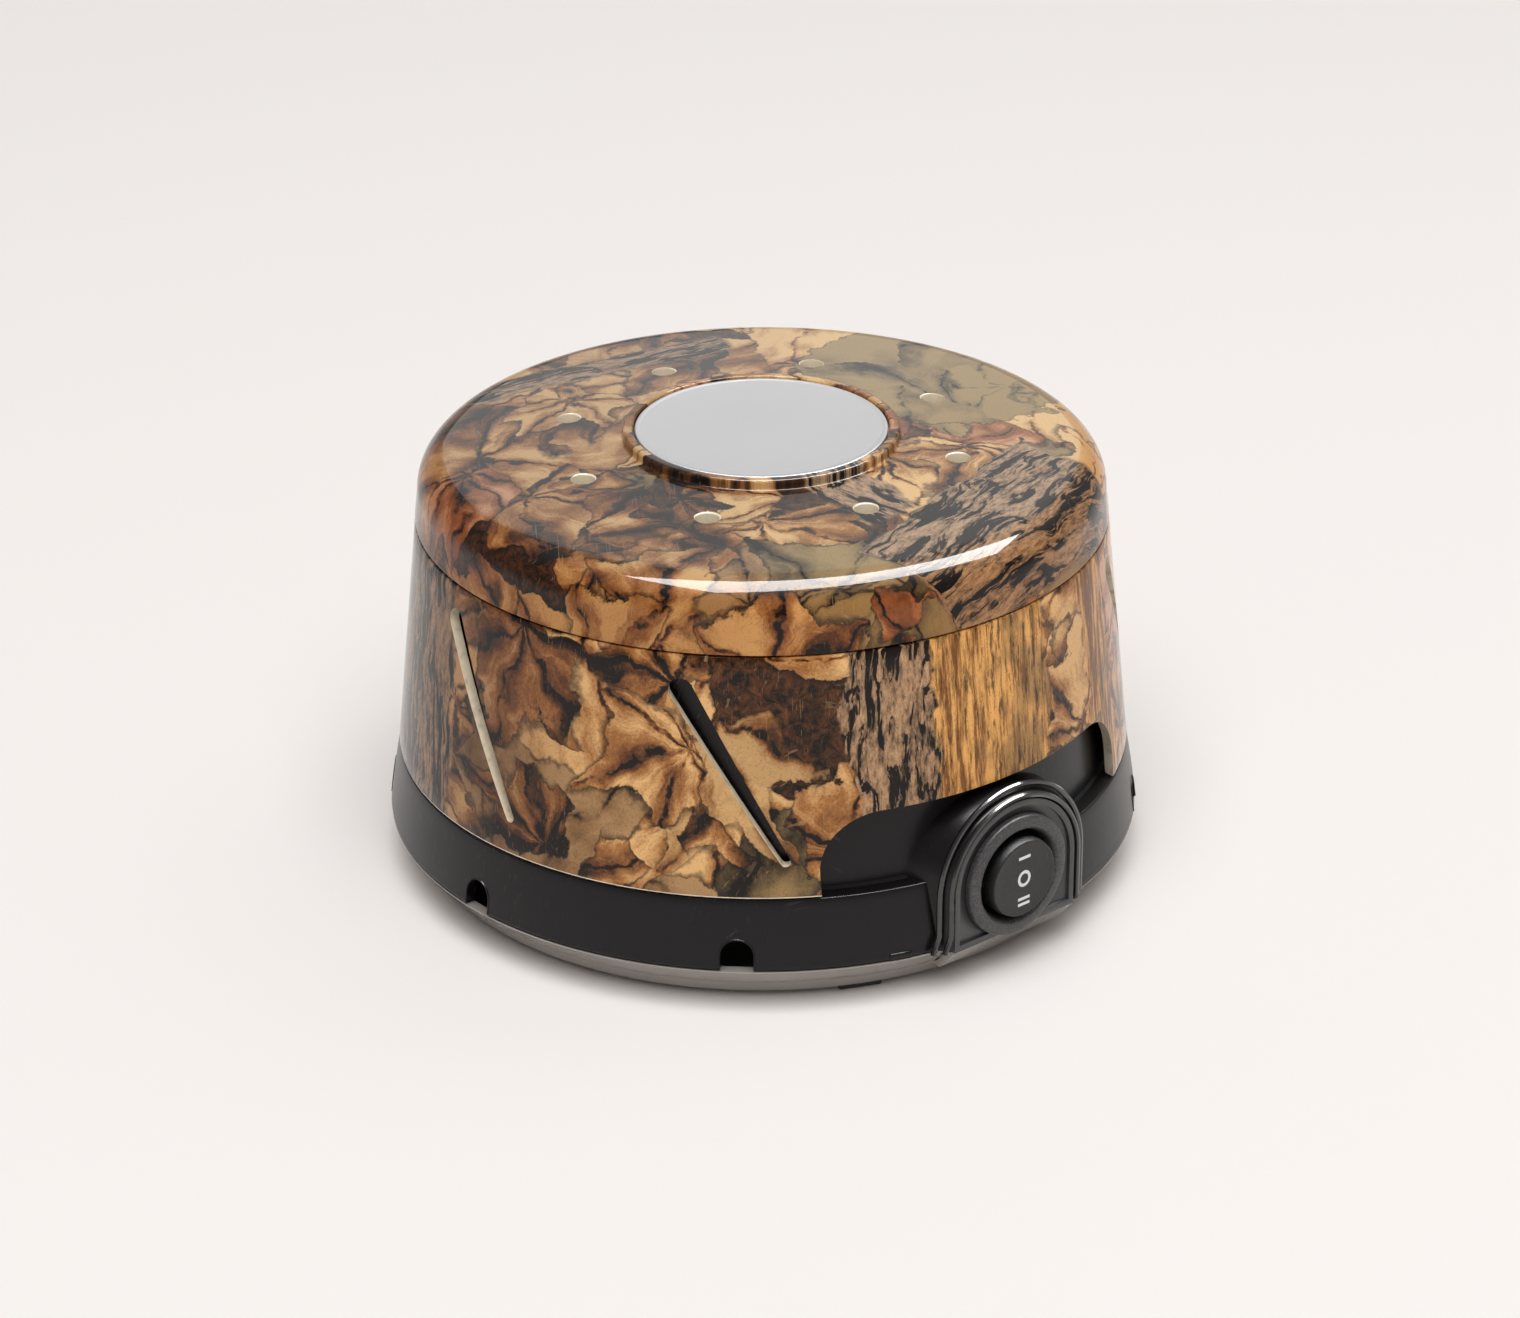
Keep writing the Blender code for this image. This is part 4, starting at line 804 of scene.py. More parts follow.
def scratches(finish):
    """A mask of hairline scratch lines from handling, in two crossing directions, broken up by a noise. The
    print paints them cream as the glint of light along them, a painted highlight; moulded plastic paints
    them as grey rub marks.
    """
    found = None
    for lean, shift in ((35.0, 3.0), (-58.0, 11.0)):
        settings = {"rotation_type": "Z_AXIS"}
        inputs = {"Vector": finish.spot, "Angle": math.radians(lean)}
        turned = finish.node("ShaderNodeVectorRotate", settings, inputs)["Vector"]
        moved = finish.vector("ADD", turned, (shift, 0.0, shift))
        drawn = finish.vector("MULTIPLY", moved, (4.5, 0.10, 0.35))
        line = finish.step(finish.noise(drawn, 1.0, 2.0, 0.5), 0.665, 0.71)
        found = line if found is None else finish.math("MAXIMUM", found, line)
    patch = finish.step(finish.noise(finish.spot, 0.035, 2.0), 0.46, 0.60)
    return found * patch


def cylinder_frame(finish):
    """Azimuth in degrees, the direction along the turn and the height of a place on an upright wall."""
    x, y, z = finish.parts(finish.spot)
    radius = finish.math("SQRT", x * x + y * y)
    azimuth = finish.math("ARCTAN2", x, 0.0 - y) * math.degrees(1.0)
    along = finish.point((0.0 - y) / radius, x / radius, 0.0)
    return azimuth, along, z


def span(finish, value, low, high, soft):
    """1 between two values, with soft ends."""
    rise = finish.step(value, low - soft, low + soft)
    return rise * finish.step(value, high - soft, high + soft, flip=True)


def spans(finish, value, places):
    """1 within any of several spans."""
    found = None
    for low, high, soft in places:
        here = span(finish, value, low, high, soft)
        found = here if found is None else finish.math("MAXIMUM", found, here)
    return found


def collar_layout(finish):
    """The film wrapped round the collar, with grey bark and planks over the switch."""
    azimuth, along, z = cylinder_frame(finish)
    x, y, _ = finish.parts(finish.spot)
    wander = (finish.noise(finish.spot, 0.09, 4.0, 0.6) - 0.5) * 10.0
    upright = finish.point(x, z, y)
    drift = azimuth + wander + (z - 45.0) * 0.05
    low_green = finish.step(z + wander * 1.2, 38.0, 39.5, flip=True) * span(finish, azimuth, 9.0, 27.0, 1.0)
    far_green = span(finish, azimuth + wander * 1.5, 108.0, 131.0, 0.5)
    return (
        finish.spot,
        along,
        (0.0, 0.0, 1.0),
        (upright, upright),
        (
            spans(finish, drift, BARK_SPANS),
            spans(finish, drift, PLANK_SPANS),
            finish.math("MAXIMUM", low_green, far_green),
            0.30,
            # Painted shade over the collar's side from azimuth -150 to -74
            span(finish, azimuth, -150.0, -74.0, 10.0) * 0.9,
        ),
    )


# pieces of bark on the cap: middle, the way it runs in degrees from +X, half its length, half its width (mm)
LIMB = ((-3.5, -27.5), -90.0, 16.0, 6.5)
SLAB = ((14.0, -58.0), 18.0, 30.0, 17.0)
TWIG = ((-2.0, 50.0), -12.0, 30.0, 4.5)


def limb_grain(finish, film, limb):
    """The film turned so that a limb of bark runs along its Y."""
    (x, y), lean, _, _ = limb
    from_middle = finish.vector("SUBTRACT", film, (x, y, 0.0))
    inputs = {"Vector": from_middle, "Angle": math.radians(90.0 - lean)}
    return finish.node("ShaderNodeVectorRotate", {"rotation_type": "Z_AXIS"}, inputs)["Vector"]


def limb_of(finish, film, limb, wander):
    """1 on a limb of bark with ragged sides."""
    _, _, half_length, half_width = limb
    aside, along, _ = finish.parts(limb_grain(finish, film, limb))
    sides = finish.step(abs(aside + wander * 0.35) - half_width, -0.6, 0.6, flip=True)
    return sides * finish.step(abs(along + wander * 0.3) - half_length, -1.0, 1.0, flip=True)


def cap_layout(finish):
    """The film laid flat over the crown and down the shoulder, with a bark limb and a large green leaf."""
    x, y, z = finish.parts(finish.spot)
    radius = finish.math("SQRT", x * x + y * y)
    drop = finish.math("MAXIMUM", CAP_HIGH.z - 2.0 - z, 0.0)
    reach = 1.0 + drop * 0.9 / radius
    film = finish.point(x * reach, y * reach, 0.0)
    film_x, film_y, _ = finish.parts(film)
    wander = (finish.noise(finish.spot, 0.085, 4.0, 0.6) - 0.5) * 22.0
    limb = limb_of(finish, film, LIMB, wander)
    slab = limb_of(finish, film, SLAB, wander)
    twig = limb_of(finish, film, TWIG, wander)
    spread = finish.vector("DISTANCE", film, (50.0, 4.0, 0.0)) + wander * 0.9
    clear = finish.step(finish.vector("LENGTH", film), 25.5, 26.5)
    green = finish.step(spread, 27.0, 28.5, flip=True) * clear
    furrows = limb_grain(finish, film, LIMB)
    furrows = finish.mix(slab, furrows, limb_grain(finish, film, SLAB))
    furrows = finish.mix(twig, furrows, limb_grain(finish, film, TWIG))
    return (
        film,
        (1.0, 0.0, 0.0),
        (0.0, 1.0, 0.0),
        (film, furrows),
        (
            finish.math("MAXIMUM", finish.math("MAXIMUM", limb, slab), twig),
            0.0,
            green,
            finish.step(radius, 58.5, 62.5) * 0.62,
            # Darker print all over, and towards azimuth -130 a painted shade on the cap's side
            finish.step(film_y * 0.64 - film_x * 0.77, -25.0, 35.0) * 0.55 + 0.18,
        ),
    )


def bare_plastic():
    """Cream plastic at the cut edges, a little stained by the print."""
    finish = Finish("bare_plastic", coat_weight=0.4, coat_roughness=0.08)
    stain = finish.noise(finish.spot, 0.35, 4.0, 0.6)
    shown = finish.ramp(
        stain,
        (0.32, shaded(paint_of("bare_plastic"), 0.55)),
        (0.46, shaded(paint_of("bare_plastic"), 0.9)),
        (0.60, paint_of("bare_plastic")),
    )
    return finish.feed(base_color=shown, roughness=0.30 + stain * 0.15)


def hole_plastic():
    """The clean pale plastic inside the cap's air holes."""
    finish = Finish("hole_plastic", coat_weight=0.4, coat_roughness=0.1)
    base = paint_of("bare_plastic")
    cloud = finish.noise(finish.spot, 0.9, 3.0)
    shown = finish.mix(cloud * 0.5, shaded(base, 1.15), shaded(base, 0.8))
    return finish.feed(base_color=shown, roughness=0.35 + cloud * 0.1)


def moulded(name, base, rough, grain, depth, drift=0.10, speckle=0.0, **uniform):
    """Moulded plastic or rubber: fine surface grain, slow colour drift and a few rub marks."""
    finish = Finish(name, **uniform)
    pitted = finish.noise(finish.spot, grain, 3.0, 0.65)
    cloud = finish.noise(finish.spot, 0.06, 3.0, 0.55)
    rubbed = scratches(finish)
    tone = finish.mix(cloud, shaded(base, 1.0 - drift), shaded(base, 1.0 + drift))
    tone = finish.mix(finish.step(pitted, 0.42, 0.66) * speckle, tone, shaded(base, 3.2))
    shown = finish.mix(rubbed * 0.05, tone, (0.5, 0.5, 0.5, 1.0))
    relief = finish.bump(pitted, depth, 0.6)
    return finish.feed(
        base_color=shown, roughness=rough - 0.03 + pitted * 0.04 + cloud * 0.05, normal=relief
    )


def metal(name, base, rough, streak=(1.2, 1.2, 0.05), **uniform):
    """Drawn or brushed metal, its streaks stretched along one direction."""
    finish = Finish(name, metallic=1.0, **uniform)
    drawn = finish.noise(finish.vector("MULTIPLY", finish.spot, streak), 3.0, 4.0, 0.7)
    cloud = finish.noise(finish.spot, 0.25, 3.0)
    tone = finish.mix(cloud * 0.6 + drawn * 0.3, shaded(base, 0.72), base)
    return finish.feed(
        base_color=tone, roughness=rough + drawn * 0.16, normal=finish.bump(drawn, 0.01, 0.4)
    )


def badge_finish():
    """Satin paint on the badge disc: one neutral colour, with the faintest brushing."""
    finish = Finish("badge_satin", metallic=0.25, coat_weight=0.15, coat_roughness=0.2)
    drawn = finish.noise(finish.vector("MULTIPLY", finish.spot, (0.06, 2.4, 1.0)), 1.6, 4.0, 0.7)
    base = paint_of("badge")
    tone = finish.mix(drawn, shaded(base, 0.95), shaded(base, 1.04))
    return finish.feed(base_color=tone, roughness=0.38 + drawn * 0.06, normal=finish.bump(drawn, 0.004, 0.3))


def laminated():
    """Electrical steel: the edges of its sheets show as fine level lines."""
    finish = Finish("lamination", metallic=0.85)
    _, _, height = finish.parts(finish.spot)
    sheets = finish.math("SINE", height * (math.tau / 0.65))
    cloud = finish.noise(finish.spot, 0.3, 4.0)
    tone = finish.mix(cloud, (0.10, 0.095, 0.09, 1.0), (0.26, 0.25, 0.24, 1.0))
    lined = finish.mix(finish.step(sheets, 0.3, 1.0) * 0.6, tone, (0.02, 0.02, 0.02, 1.0))
    return finish.feed(base_color=lined, roughness=0.42 + cloud * 0.2, normal=finish.bump(sheets, 0.05, 0.5))


def wound():
    """Enamelled copper wire: turns that run round the core leg show as fine ribs along X, and the grooves
    between them are painted darker, a painted shade.
    """
    finish = Finish("winding", metallic=0.9, coat_weight=0.6, coat_roughness=0.15)
    along, _, _ = finish.parts(finish.spot)
    turns = finish.math("SINE", along * (math.tau / 0.45))
    cloud = finish.noise(finish.spot, 0.4, 3.0)
    tone = finish.mix(cloud, (0.34, 0.09, 0.03, 1.0), (0.62, 0.20, 0.07, 1.0))
    # Painted shade: the grooves between the turns are painted near black
    lined = finish.mix(finish.step(turns, 0.2, 1.0, flip=True) * 0.35, (0.08, 0.02, 0.01, 1.0), tone)
    return finish.feed(base_color=lined, roughness=0.25 + cloud * 0.12, normal=finish.bump(turns, 0.12, 0.7))


def ink():
    """The marks' white ink, slightly worn."""
    finish = Finish("mark_ink")
    worn = finish.noise(finish.spot, 1.8, 3.0, 0.7)
    tone = finish.mix(worn * 0.4, paint_of("mark"), shaded(paint_of("mark"), 0.8))
    return finish.feed(base_color=tone, roughness=0.4 + worn * 0.15)


# ---------------------------------------------------------------- pieces


def air_hole_tool(name, azimuth_shift, low, high, radius, flare=0.0):
    """Cutters for the ring of air holes, each with a rounded mouth that opens upwards."""
    profile = [(radius, low), (radius, high - flare)]
    if flare:
        profile += arc((radius + flare, high - flare), flare, flare, 180.0, 96.0, 5)
        profile.append((radius + flare, high + 3.0))
    tool = put(lathe(name, profile, sides=MIDDLE_SIDES // 2), place(0.0, HOLE_RING_R))
    first = HOLE_AZIMUTH + azimuth_shift
    return copies(tool, [first + 360.0 * step / HOLE_COUNT for step in range(HOLE_COUNT)])


def air_hole_height(radius):
    """Height of the crown over a radius, in millimetres."""
    shoulder_z = CAP_LOW.z + mm_of("rim_height") + mm_of("shoulder_height")
    outer = COLLAR_TOP_R - mm_of("rim_taper") - mm_of("shoulder_width")
    inner = BADGE_HIGH.x + BADGE_RING
    share = (outer - radius) / (outer - inner)
    return shoulder_z + mm_of("crown_rise") * share


class MACHINE_OT_cap(bpy.types.Operator):
    """Turned cap: gloss rim, rounded shoulder, near-flat crown, raised badge ring and a ring of air holes"""

    bl_idname = "machine.cap"
    bl_label = "Cap"
    bl_options = {"REGISTER", "UNDO"}

    def execute(self, context):
        rim = COLLAR_TOP_R
        rim_z = CAP_LOW.z
        steep = rim - mm_of("rim_taper")
        low_z = rim_z + mm_of("rim_height")
        width = mm_of("shoulder_width")
        height = mm_of("shoulder_height")
        crown_r = steep - width
        badge_r = BADGE_HIGH.x
        ring = badge_r + BADGE_RING
        crown_z = low_z + height + mm_of("crown_rise")
        ring_z = crown_z + mm_of("ring_rise")
        seat_z = BADGE_LOW.z - 0.3
        wall = mm_of("cap_wall")
        profile = [(8.0, seat_z), (badge_r + 0.28, seat_z), (badge_r + 0.34, ring_z - 0.35)]
        profile += arc((badge_r + 0.72, ring_z - 0.38), 0.36, 0.36, 170.0, 90.0, 4)
        profile += arc((ring - 0.62, ring_z - 0.62), 0.62, 0.6, 84.0, 6.0, 6)
        profile += [(ring, crown_z + 0.42)]
        profile += arc((ring + 0.45, crown_z + 0.42), 0.45, 0.45, 200.0, 268.0, 4)
        for step in range(1, 9):
            radius = ring + 0.5 + (crown_r - ring - 0.5) * step / 9
            profile.append((radius, air_hole_height(radius)))
        profile += arc((crown_r, low_z), width, height, 88.0, 0.0, 22)
        profile += [(rim - 0.28, rim_z + 2.8), (rim - 0.02, rim_z + 0.5)]
        profile += arc((rim - 0.32, rim_z + 0.32), 0.32, 0.32, -8.0, -90.0, 3)
        profile += [(rim - wall, rim_z)]
        profile += arc((crown_r, low_z), width - wall, height - wall, 0.0, 86.0, 10)
        hub_z = seat_z - 4.7
        profile += [(ring, hub_z + 1.1), (8.7, hub_z + 1.1), (8.7, 76.5), (7.6, 76.5)]
        profile += [(7.6, 72.8), (5.5, 72.8), (5.5, hub_z)]
        cap = dress(lathe("cap_shell", profile), printed("cap_print", cap_layout))
        hole_r = mm_of("air_hole")
        top = air_hole_height(HOLE_RING_R)
        tool = air_hole_tool("air_hole_cutter", 0.0, 70.0, top, hole_r, 0.3)
        cut(cap, dress(tool, hole_plastic()))
        finished(cap, "cap", "printed_plastic", "cap")
        return {"FINISHED"}


class MACHINE_OT_badge(bpy.types.Operator):
    """Plain badge disc with a fine rounded edge, set in the cap's ring"""

    bl_idname = "machine.badge"
    bl_label = "Badge disc"
    bl_options = {"REGISTER", "UNDO"}

    def execute(self, context):
        radius = BADGE_HIGH.x
        top = BADGE_HIGH.z
        profile = [(2.0, BADGE_LOW.z), (radius - 0.1, BADGE_LOW.z), (radius, BADGE_LOW.z + 0.1)]
        profile += arc((radius - 0.3, top - 0.24), 0.3, 0.24, 0.0, 90.0, 5)
        profile += [(radius - 0.75, top), (radius - 0.9, top - 0.08)]
        profile += [(radius - 1.1, top - 0.1), (8.0, top - 0.1), (2.0, top - 0.1)]
        badge = dress(lathe("badge_plate", profile, MIDDLE_SIDES * 2), badge_finish())
        finished(badge, "cap", "badge_metal", "badge_disc")
        return {"FINISHED"}


class MACHINE_OT_collar(bpy.types.Operator):
    """Printed collar: a tapering wall with slanted slots and an arched cutout over the switch"""

    bl_idname = "machine.collar"
    bl_label = "Collar"
    bl_options = {"REGISTER", "UNDO"}

    def execute(self, context):
        low_z, high_z = COLLAR_LOW.z, COLLAR_HIGH.z
        foot_r, top_r = LEDGE_R, COLLAR_TOP_R
        wall = mm_of("collar_wall")
        edge = mm_of("edge")
        taper = (foot_r - top_r) / (high_z - low_z)

        def outer(z):
            return foot_r - (z - low_z) * taper

        rings = [low_z + edge + (high_z - low_z - 2 * edge) * step / 12 for step in range(13)]
        profile = [(outer(z), z) for z in rings]
        profile += arc((outer(high_z) - edge, high_z - edge), edge, edge, 45.0, 90.0, 2)
        inside = [(outer(z) - wall, z) for z in reversed([low_z + 0.2] + rings[1:-1] + [high_z - 0.2])]
        profile += [(outer(high_z) - wall + 0.2, high_z)] + inside + [(outer(low_z) - wall + 0.2, low_z)]
        profile += arc((outer(low_z) - edge, low_z + edge), edge, edge, -90.0, -45.0, 2)
        film = printed("collar_print", collar_layout)
        bare = bare_plastic()
        collar = dress(lathe("collar_band", profile, solid=False), film, bare)
        for face in collar.data.polygons:
            face.material_index = 1 if face.center.z / MM < low_z + edge * 0.8 else 0
        half = mm_of("cutout_half")
        height = mm_of("cutout_height")
        corner = mm_of("cutout_corner")
        low, high = (-half, -CUTTER_FAR, low_z - 5.0), (half, -CUTTER_NEAR, low_z + height)
        opening = block("cutout_cutter", low, high)
        round_edges(
            opening, corner, 14, lambda near, far: min(near.z, far.z) > low_z and abs(near.y - far.y) > 1.0
        )
        slots = slot_tool("collar_slot_cutter", 0.0, 50.0, 85.0)
        for tool in (opening, slots):
            dress(tool, bare)
        cut(collar, opening, slots)
        finished(collar, "collar", "printed_plastic", "collar")
        return {"FINISHED"}


SATIN_COAT = {"coat_weight": 0.6, "coat_roughness": 0.12}


def skirt_radius(height):
    """Radius of the flaring skirt at a height above its foot, in millimetres."""
    span_z = LEDGE_Z - 0.3 - SKIRT_Z
    share = max(0.0, height - SKIRT_Z) / span_z
    return BODY_R - mm_of("skirt_taper") * share ** 1.177


class MACHINE_OT_housing(bpy.types.Operator):
    """Black housing: flared skirt with windows, hood round the switch, slotted drum inside the collar"""

    bl_idname = "machine.housing"
    bl_label = "Housing"
    bl_options = {"REGISTER", "UNDO"}

    def execute(self, context):
        black = moulded("black_gloss", paint_of("black_plastic"), 0.27, 5.0, 0.008, ior=1.36)
        wall = mm_of("wall")
        ledge = LEDGE_Z
        round_r = 0.45
        profile = arc((BODY_R - round_r, SKIRT_Z + round_r), round_r, round_r, -90.0, 0.0, 4)
        steps = [SKIRT_Z + 0.8 + (ledge - 1.1 - SKIRT_Z) * step / 12 for step in range(13)]
        profile += [(skirt_radius(z), z) for z in steps if z < ledge - 0.5]
        profile += arc((skirt_radius(ledge) - round_r, ledge - round_r), round_r, round_r, 12.0, 90.0, 4)
        profile += [(DRUM_FOOT_R + 0.5, ledge), (DRUM_FOOT_R, ledge + 0.5)]
        corner_r, corner_z = DRUM_TOP_R - DRUM_CORNER, DRUM_TOP_Z - DRUM_CORNER
        profile += [(DRUM_TOP_R, corner_z)]
        profile += arc((corner_r, corner_z), DRUM_CORNER, DRUM_CORNER, 8.0, 90.0, 8)
        profile += [(DRUM_EYE_R, DRUM_TOP_Z), (DRUM_EYE_R, DRUM_TOP_Z - wall)]
        profile += [(corner_r, DRUM_TOP_Z - wall), (DRUM_TOP_R - wall, corner_z)]
        profile += [(DRUM_FOOT_R - wall, ledge - wall + 0.5), (skirt_radius(ledge) - wall, ledge - wall)]
        profile += [(skirt_radius(z) - wall, z) for z in reversed(steps[:8:3])]
        profile += [(BODY_R - wall, SKIRT_Z)]
        housing = dress(lathe("housing_shell", profile, solid=False), black)
        half = mm_of("hood_wall") + HOOD_OPENING
        hood = arch_block(
            "hood_block",
            half,
            SWITCH_Z,
            SKIRT_Z,
            [(HOOD_Y, half, half), (HOOD_Y + HOOD_DEPTH, half * 1.27, half * 1.04)],
        )
        dress(hood, black)
        round_edges(
            hood,
            0.5,
            4,
            lambda near, far: max(abs(near.y - HOOD_Y), abs(far.y - HOOD_Y)) < 0.01
            and max(near.z, far.z) > SKIRT_Z + 0.1,
        )
        join(housing, hood)
        pad = rod("inlet_pad", INLET_PAD_R, (0.0, 68.0, INLET_Z), (0.0, BODY_R + 0.4, INLET_Z))
        edit()
        pick(pad, lambda point: point.y > BODY_R)
        bpy.ops.mesh.bevel(offset=0.25 * MM, segments=2, affect="EDGES")
        finish_edit()
        join(housing, dress(pad, black))
        opening = arch_block(
            "hood_cutter",
            HOOD_OPENING,
            SWITCH_Z,
            SKIRT_Z - 3.0,
            [(y, HOOD_OPENING, HOOD_OPENING) for y in (HOOD_Y - 4.0, HOOD_Y + 25.0)],
        )
        inlet = rod("inlet_cutter", INLET_R, (0.0, 55.0, INLET_Z), (0.0, CUTTER_FAR, INLET_Z))
        cut(housing, *(dress(tool, black) for tool in (opening, inlet)))
        windows = [self.window(azimuth) for azimuth in WINDOW_AZIMUTHS]
        cut(housing, dress(merged(windows), black))
        cut(housing, dress(slot_tool("drum_slot_cutter", DRUM_SLOT_TURN, 45.0, 78.0), black))
        holes = air_hole_tool("drum_hole_cutter", DRUM_HOLE_TURN, 70.0, 84.0, mm_of("air_hole"))
        cut(housing, dress(holes, black))
        finished(housing, "base", "black_plastic", "housing")
        self.beads()
        self.frames(black)
        self.latch(black)
        return {"FINISHED"}

    def window(self, azimuth):
        """Cutter for one arched window at the foot of the skirt."""
        half = mm_of("window_width") / 2
        height = mm_of("window_height")
        tool = arch_block(
            "window_cutter",
            half,
            SKIRT_Z + height - half,
            SKIRT_Z - 3.0,
            [(-80.0, half, half), (-60.0, half, half)],
            SMALL_SIDES,
        )
        return turn(tool, azimuth)

    def beads(self):
        """Two beads with a groove between, round the hood's front edge."""
        radius = mm_of("bead")
        rails = []
        for half, y, thick in ((15.75, HOOD_Y + 0.12, radius), (17.55, HOOD_Y + 1.35, radius * 1.05)):
            rails.append(self.rail(half, y, thick))
        coat = {"coat_weight": 1.0, "coat_roughness": 0.06}
        gloss = moulded("bead_gloss", paint_of("black_plastic"), 0.15, 5.0, 0.004, **coat)
        piece = dress(merged(rails), gloss)
        piece.name = "hood_beads"
        finished(piece, "base", "black_plastic")

    def rail(self, half, y, thick):
        """A round rail that follows an arch on two legs, the left one with its toe turned out."""
        centre = Vector((0.0, y, SWITCH_Z))
        foot = Vector((half, y, SKIRT_Z + thick))
        toe = Vector((-half - 1.6, y - 0.15, SKIRT_Z))
        route = [toe, Vector((-half, y, SKIRT_Z + 3.3))]
        for step in range(41):
            angle = math.pi * (1.0 - step / 40)
            route.append(centre + Vector((half * math.cos(angle), 0.0, half * math.sin(angle))))
        route.append(foot)
        return swept("hood_rail", route, thick)

    def frames(self, black):
        """A fine raised outline round each window."""
        half = mm_of("window_width") / 2 + 0.12
        height = mm_of("window_height") + 0.12
        rails = []
        for azimuth in WINDOW_AZIMUTHS:
            route = [self.on_skirt(-half, SKIRT_Z + 0.2)]
            for step in range(17):
                angle = math.pi * (1.0 - step / 16)
                route.append(
                    self.on_skirt(half * math.cos(angle), SKIRT_Z + height - half + half * math.sin(angle))
                )
            route.append(self.on_skirt(half, SKIRT_Z + 0.2))
            rails.append(turn(swept("window_rail", route, 0.18, 8), azimuth))
        piece = dress(merged(rails), black)
        piece.name = "window_frames"
        finished(piece, "base", "black_plastic")

    def on_skirt(self, x, z):
        radius = skirt_radius(z)
        return Vector((x, -math.sqrt(radius * radius - x * x), z))

    def latch(self, black):
        """The catch at the skirt's foot beside the hood: a small raised tab."""
        low, high = (-2.2, -BODY_R - 0.25, SKIRT_Z + 0.1), (2.2, -BODY_R + 1.6, SKIRT_Z + 1.3)
        tab = block("latch_tab", low, high, 0.35, 3)
        dress(turn(tab, LATCH_AZIMUTH), black)
        finished(tab, "base", "black_plastic")


def swept(name, route, thick, sides=12):
    """A round bar along a route, closed at both ends."""
    curve = bpy.data.curves.new(name, "CURVE")
    curve.dimensions = "3D"
    curve.bevel_depth = thick * MM
    curve.bevel_resolution = max(0, sides // 4 - 1)
    curve.use_fill_caps = True
    spline = curve.splines.new("POLY")
    spline.points.add(len(route) - 1)
    for point, spot in zip(spline.points, route):
        point.co = (*(Vector(spot) * MM), 1.0)
    bar = bpy.data.objects.new(name, curve)
    bpy.context.scene.collection.objects.link(bar)
    only(bar)
    bpy.ops.object.convert(target="MESH")
    bar = bpy.context.object
    edit()
    finish_edit()
    return bar


class MACHINE_OT_base(bpy.types.Operator):
    """Base pan with its stepped rim, the four feet and the four base screws"""

    bl_idname = "machine.base"
    bl_label = "Base pan"
    bl_options = {"REGISTER", "UNDO"}

    def execute(self, context):
        # The pan's light grey is a painted reflection of light on its black plastic
        grey = moulded("pan_satin", paint_of("pan_plastic"), 0.24, 3.5, 0.01, **SATIN_COAT)
        top = PAN_HIGH.z
        low_z = FOOT_LOW.z + FOOT_PROUD
        floor_z = low_z + PAN_FLOOR
        rim_z = floor_z + PAN_WALL_HEIGHT
        outer = [(10.0, low_z), (66.2, low_z), (66.55, low_z + 0.12), (66.9, low_z + 0.5)]
        outer += [(67.35, low_z + 2.1), (67.5, low_z + 2.35), (67.9, low_z + 2.62), (70.0, low_z + 4.3)]
        outer += [(71.9, rim_z - 1.05), (72.3, rim_z - 0.72), (72.72, rim_z - 0.36), (72.9, rim_z - 0.14)]
        outer += [(72.86, rim_z), (70.8, rim_z), (70.55, rim_z - 0.4)]
        outer += [(66.9, floor_z + 0.25), (66.3, floor_z), (10.0, floor_z)]
        pan = dress(lathe("pan_shell", outer), grey)
        edge = PANEL_HALF + 0.3
        low, high = (-edge, -CUTTER_FAR, floor_z - 0.02), (edge, -66.0, rim_z + 5.0)
        notch = block("pan_notch_cutter", low, high)
        cut(pan, dress(notch, grey))
        posts = []
        for side in (-POST_X, POST_X):
            post = lathe(
                "motor_post",
                [
                    (1.8, floor_z - 0.5),
                    (5.6, floor_z - 0.5),
                    (5.0, floor_z + 0.6),
                    (5.0, top - 0.4),
                    (4.6, top),
                    (1.8, top),
                ],
                SMALL_SIDES,
                solid=False,
            )
            posts.append(dress(put(post, (side, 0.0, 0.0)), grey))
        join(pan, *posts)
        for azimuth in SCREW_AZIMUTHS:
            sides = [(1.7, low_z - 2.0), (3.4, low_z - 2.0), (3.4, low_z + 1.1)]
            sides += [(1.7, low_z + 1.3), (1.7, rim_z)]
            well = put(lathe("screw_well", sides, SMALL_SIDES), place(azimuth, SCREW_RING_R))
            cut(pan, dress(well, grey))
        finished(pan, "base", "black_plastic", "base_pan")
        soft = moulded("foot_rubber", paint_of("rubber"), 0.62, 4.0, 0.02)
        for number, azimuth in enumerate(FOOT_AZIMUTHS, 1):
            foot = block("foot_pad_" + str(number), (-4.15, -66.5, 0.0), (4.15, -59.0, 2.2), 0.45, 4)
            dress(turn(foot, azimuth), soft)
            finished(foot, "base", "rubber", "foot_" + str(number))
        bright = metal("screw_steel", linear(170, 170, 172) + (1.0,), 0.28, (1.0, 1.0, 1.0))
        for number, azimuth in enumerate(SCREW_AZIMUTHS, 1):
            sides = [(0.4, 0.9), (2.6, 0.9), (3.0, 1.15), (3.1, 1.45), (3.1, 1.7)]
            sides += [(1.45, 1.75), (1.4, 2.0), (1.4, 9.5), (0.4, 9.8)]
            head = lathe("base_screw_head_" + str(number), sides, SMALL_SIDES)
            bars = [
                block("cross_bar", (-1.7, -0.32, 0.2), (1.7, 0.32, 1.35)),
                block("cross_bar", (-0.32, -1.7, 0.2), (0.32, 1.7, 1.36)),
            ]
            cut(head, *bars)
            dress(put(head, place(azimuth, SCREW_RING_R)), bright)
            finished(head, "base", "steel", "base_screw_" + str(number))
        return {"FINISHED"}


